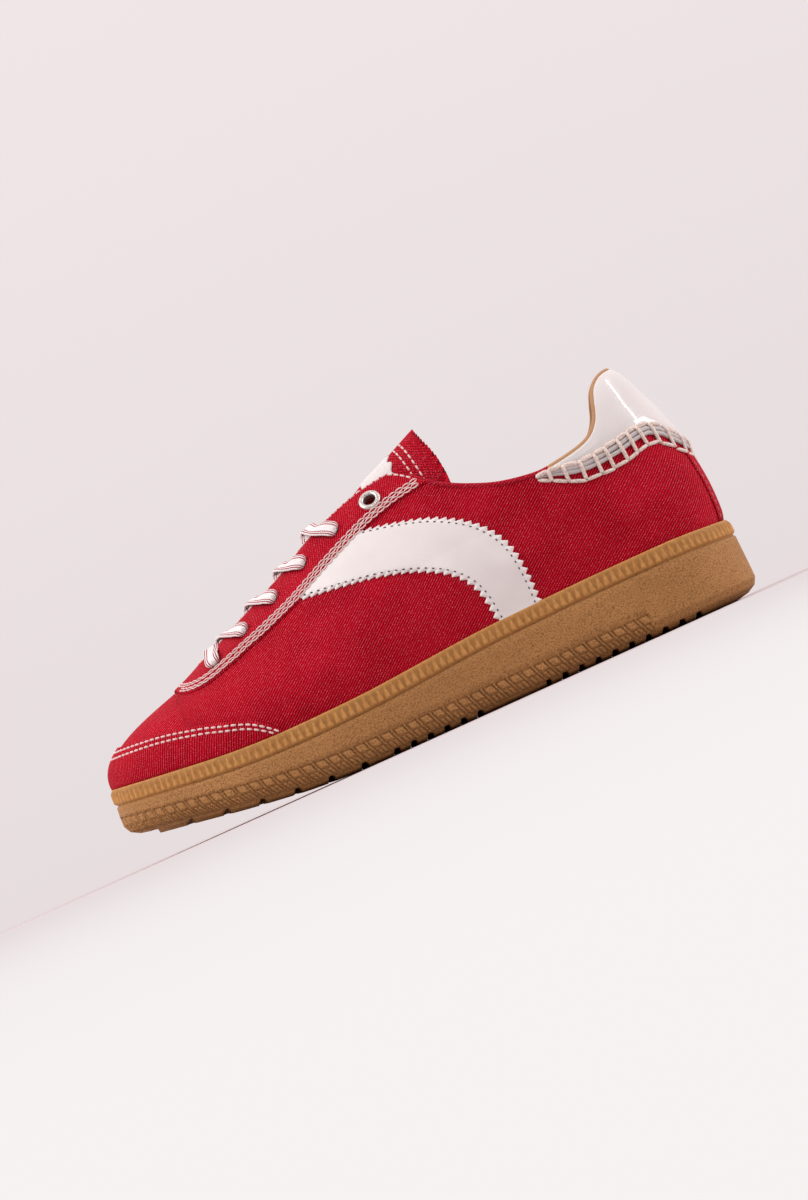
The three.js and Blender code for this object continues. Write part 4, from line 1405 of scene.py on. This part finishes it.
def build_sky():
    """Light from all round, brighter towards the shoe's ends, its far side and overhead."""
    world = bpy.data.worlds.new("studio")
    bpy.context.scene.world = world
    world.use_nodes = True
    sky = Nodes(world.node_tree)
    color, strength = sky.nodes["Background"].inputs[:2]
    color.default_value = colour(*PALE)
    way = sky.node("ShaderNodeTexCoord").outputs["Generated"]
    x, y, z = sky.node("ShaderNodeSeparateXYZ", {0: way}).outputs
    light = sky.math("MULTIPLY_ADD", sky.times(x, x), SKY_ENDS, SKY)
    light = sky.math("MULTIPLY_ADD", y, -SKY_BACK, light)
    sky.put(strength, sky.math("MULTIPLY_ADD", z, SKY_TOP, light))


def build_floor():
    """A round floor that takes shadows near the shoe and glows further out, the glow brightening towards
    the camera as painted light.
    """
    mesh = bpy.data.meshes.new("floor")
    rim = np.stack([*circle(FLOOR_SIDES), np.zeros(FLOOR_SIDES)], -1) * FLOOR_RADIUS
    faces = [(0, i + 1, (i + 1) % FLOOR_SIDES + 1) for i in range(FLOOR_SIDES)]
    mesh.from_pydata([(0, 0, 0)] + rim.tolist(), [], faces)
    m = Shader("floor", 0.9, Specular_IOR_Level=0.0)
    m.body.inputs["Base Color"].default_value = colour(*SHADED_FLOOR)
    place = m.node("ShaderNodeNewGeometry").outputs["Position"]
    distance = m.node("ShaderNodeVectorMath", {0: place}, operation="LENGTH").outputs["Value"]
    depth = m.node("ShaderNodeSeparateXYZ", {0: place}).outputs[1]
    # painted light: the glow has the backdrop's tone far off and grows brighter towards the camera
    tone = m.mix(m.ramp(depth, 0.2, 2.7), FAR_FLOOR, NEAR_FLOOR_PAINTED_LIGHT)
    glow = m.node("ShaderNodeEmission", {"Color": tone}).outputs[0]
    both = m.node("ShaderNodeMixShader", {0: m.ramp(distance, 0.15, 0.36), 1: m.body.outputs[0], 2: glow})
    m.put(m.nodes["Material Output"].inputs["Surface"], both.outputs[0])
    mesh.materials.append(m.material)
    floor = add_object("floor", mesh)


def placed(at, *axes):
    """The placement that puts an object at a point, with these unit axes."""
    return Matrix.Translation(at) @ Matrix(axes).transposed().to_4x4()


def build_lights():
    for name, place, target, axis, width, length, watts in LIGHTS:
        data = bpy.data.lights.new(name, "AREA")
        data.shape = "RECTANGLE"
        data.size, data.size_y, data.energy = width, length, watts
        made = add_object(name, data)
        back = (Vector(place) - Vector(target)).normalized()
        side = Vector(axis).cross(back).normalized()
        made.matrix_world = placed(place, side, back.cross(side), back)


def build_camera():
    ahead = (TARGET - EYE).normalized()
    right = ahead.cross(Vector((0, 0, 1))).normalized()
    up = right.cross(ahead)
    data = bpy.data.cameras.new("camera")
    data.sensor_fit = "HORIZONTAL"
    data.lens = data.sensor_width * (EYE - TARGET).length / VIEW_WIDTH
    data.clip_start = 0.005
    made = add_object("camera", data)
    made.matrix_world = placed(EYE, right * math.cos(ROLL) - up * math.sin(ROLL),
                               right * math.sin(ROLL) + up * math.cos(ROLL), -ahead)
    bpy.context.scene.camera = made


build_upper()
build_facing()
build_tab()
build_back_strip()
build_collar_roll()
build_tongue()
build_label()
build_sole()
build_insole()
build_eyelets()
build_lace()
build_strap(1, "strap_outer")
build_strap(-1, "strap_inner")
build_toe()
build_stitches()
build_heel_trim()
build_sky()
build_floor()
build_lights()
build_camera()
bpy.context.scene.view_settings.view_transform = "Standard"
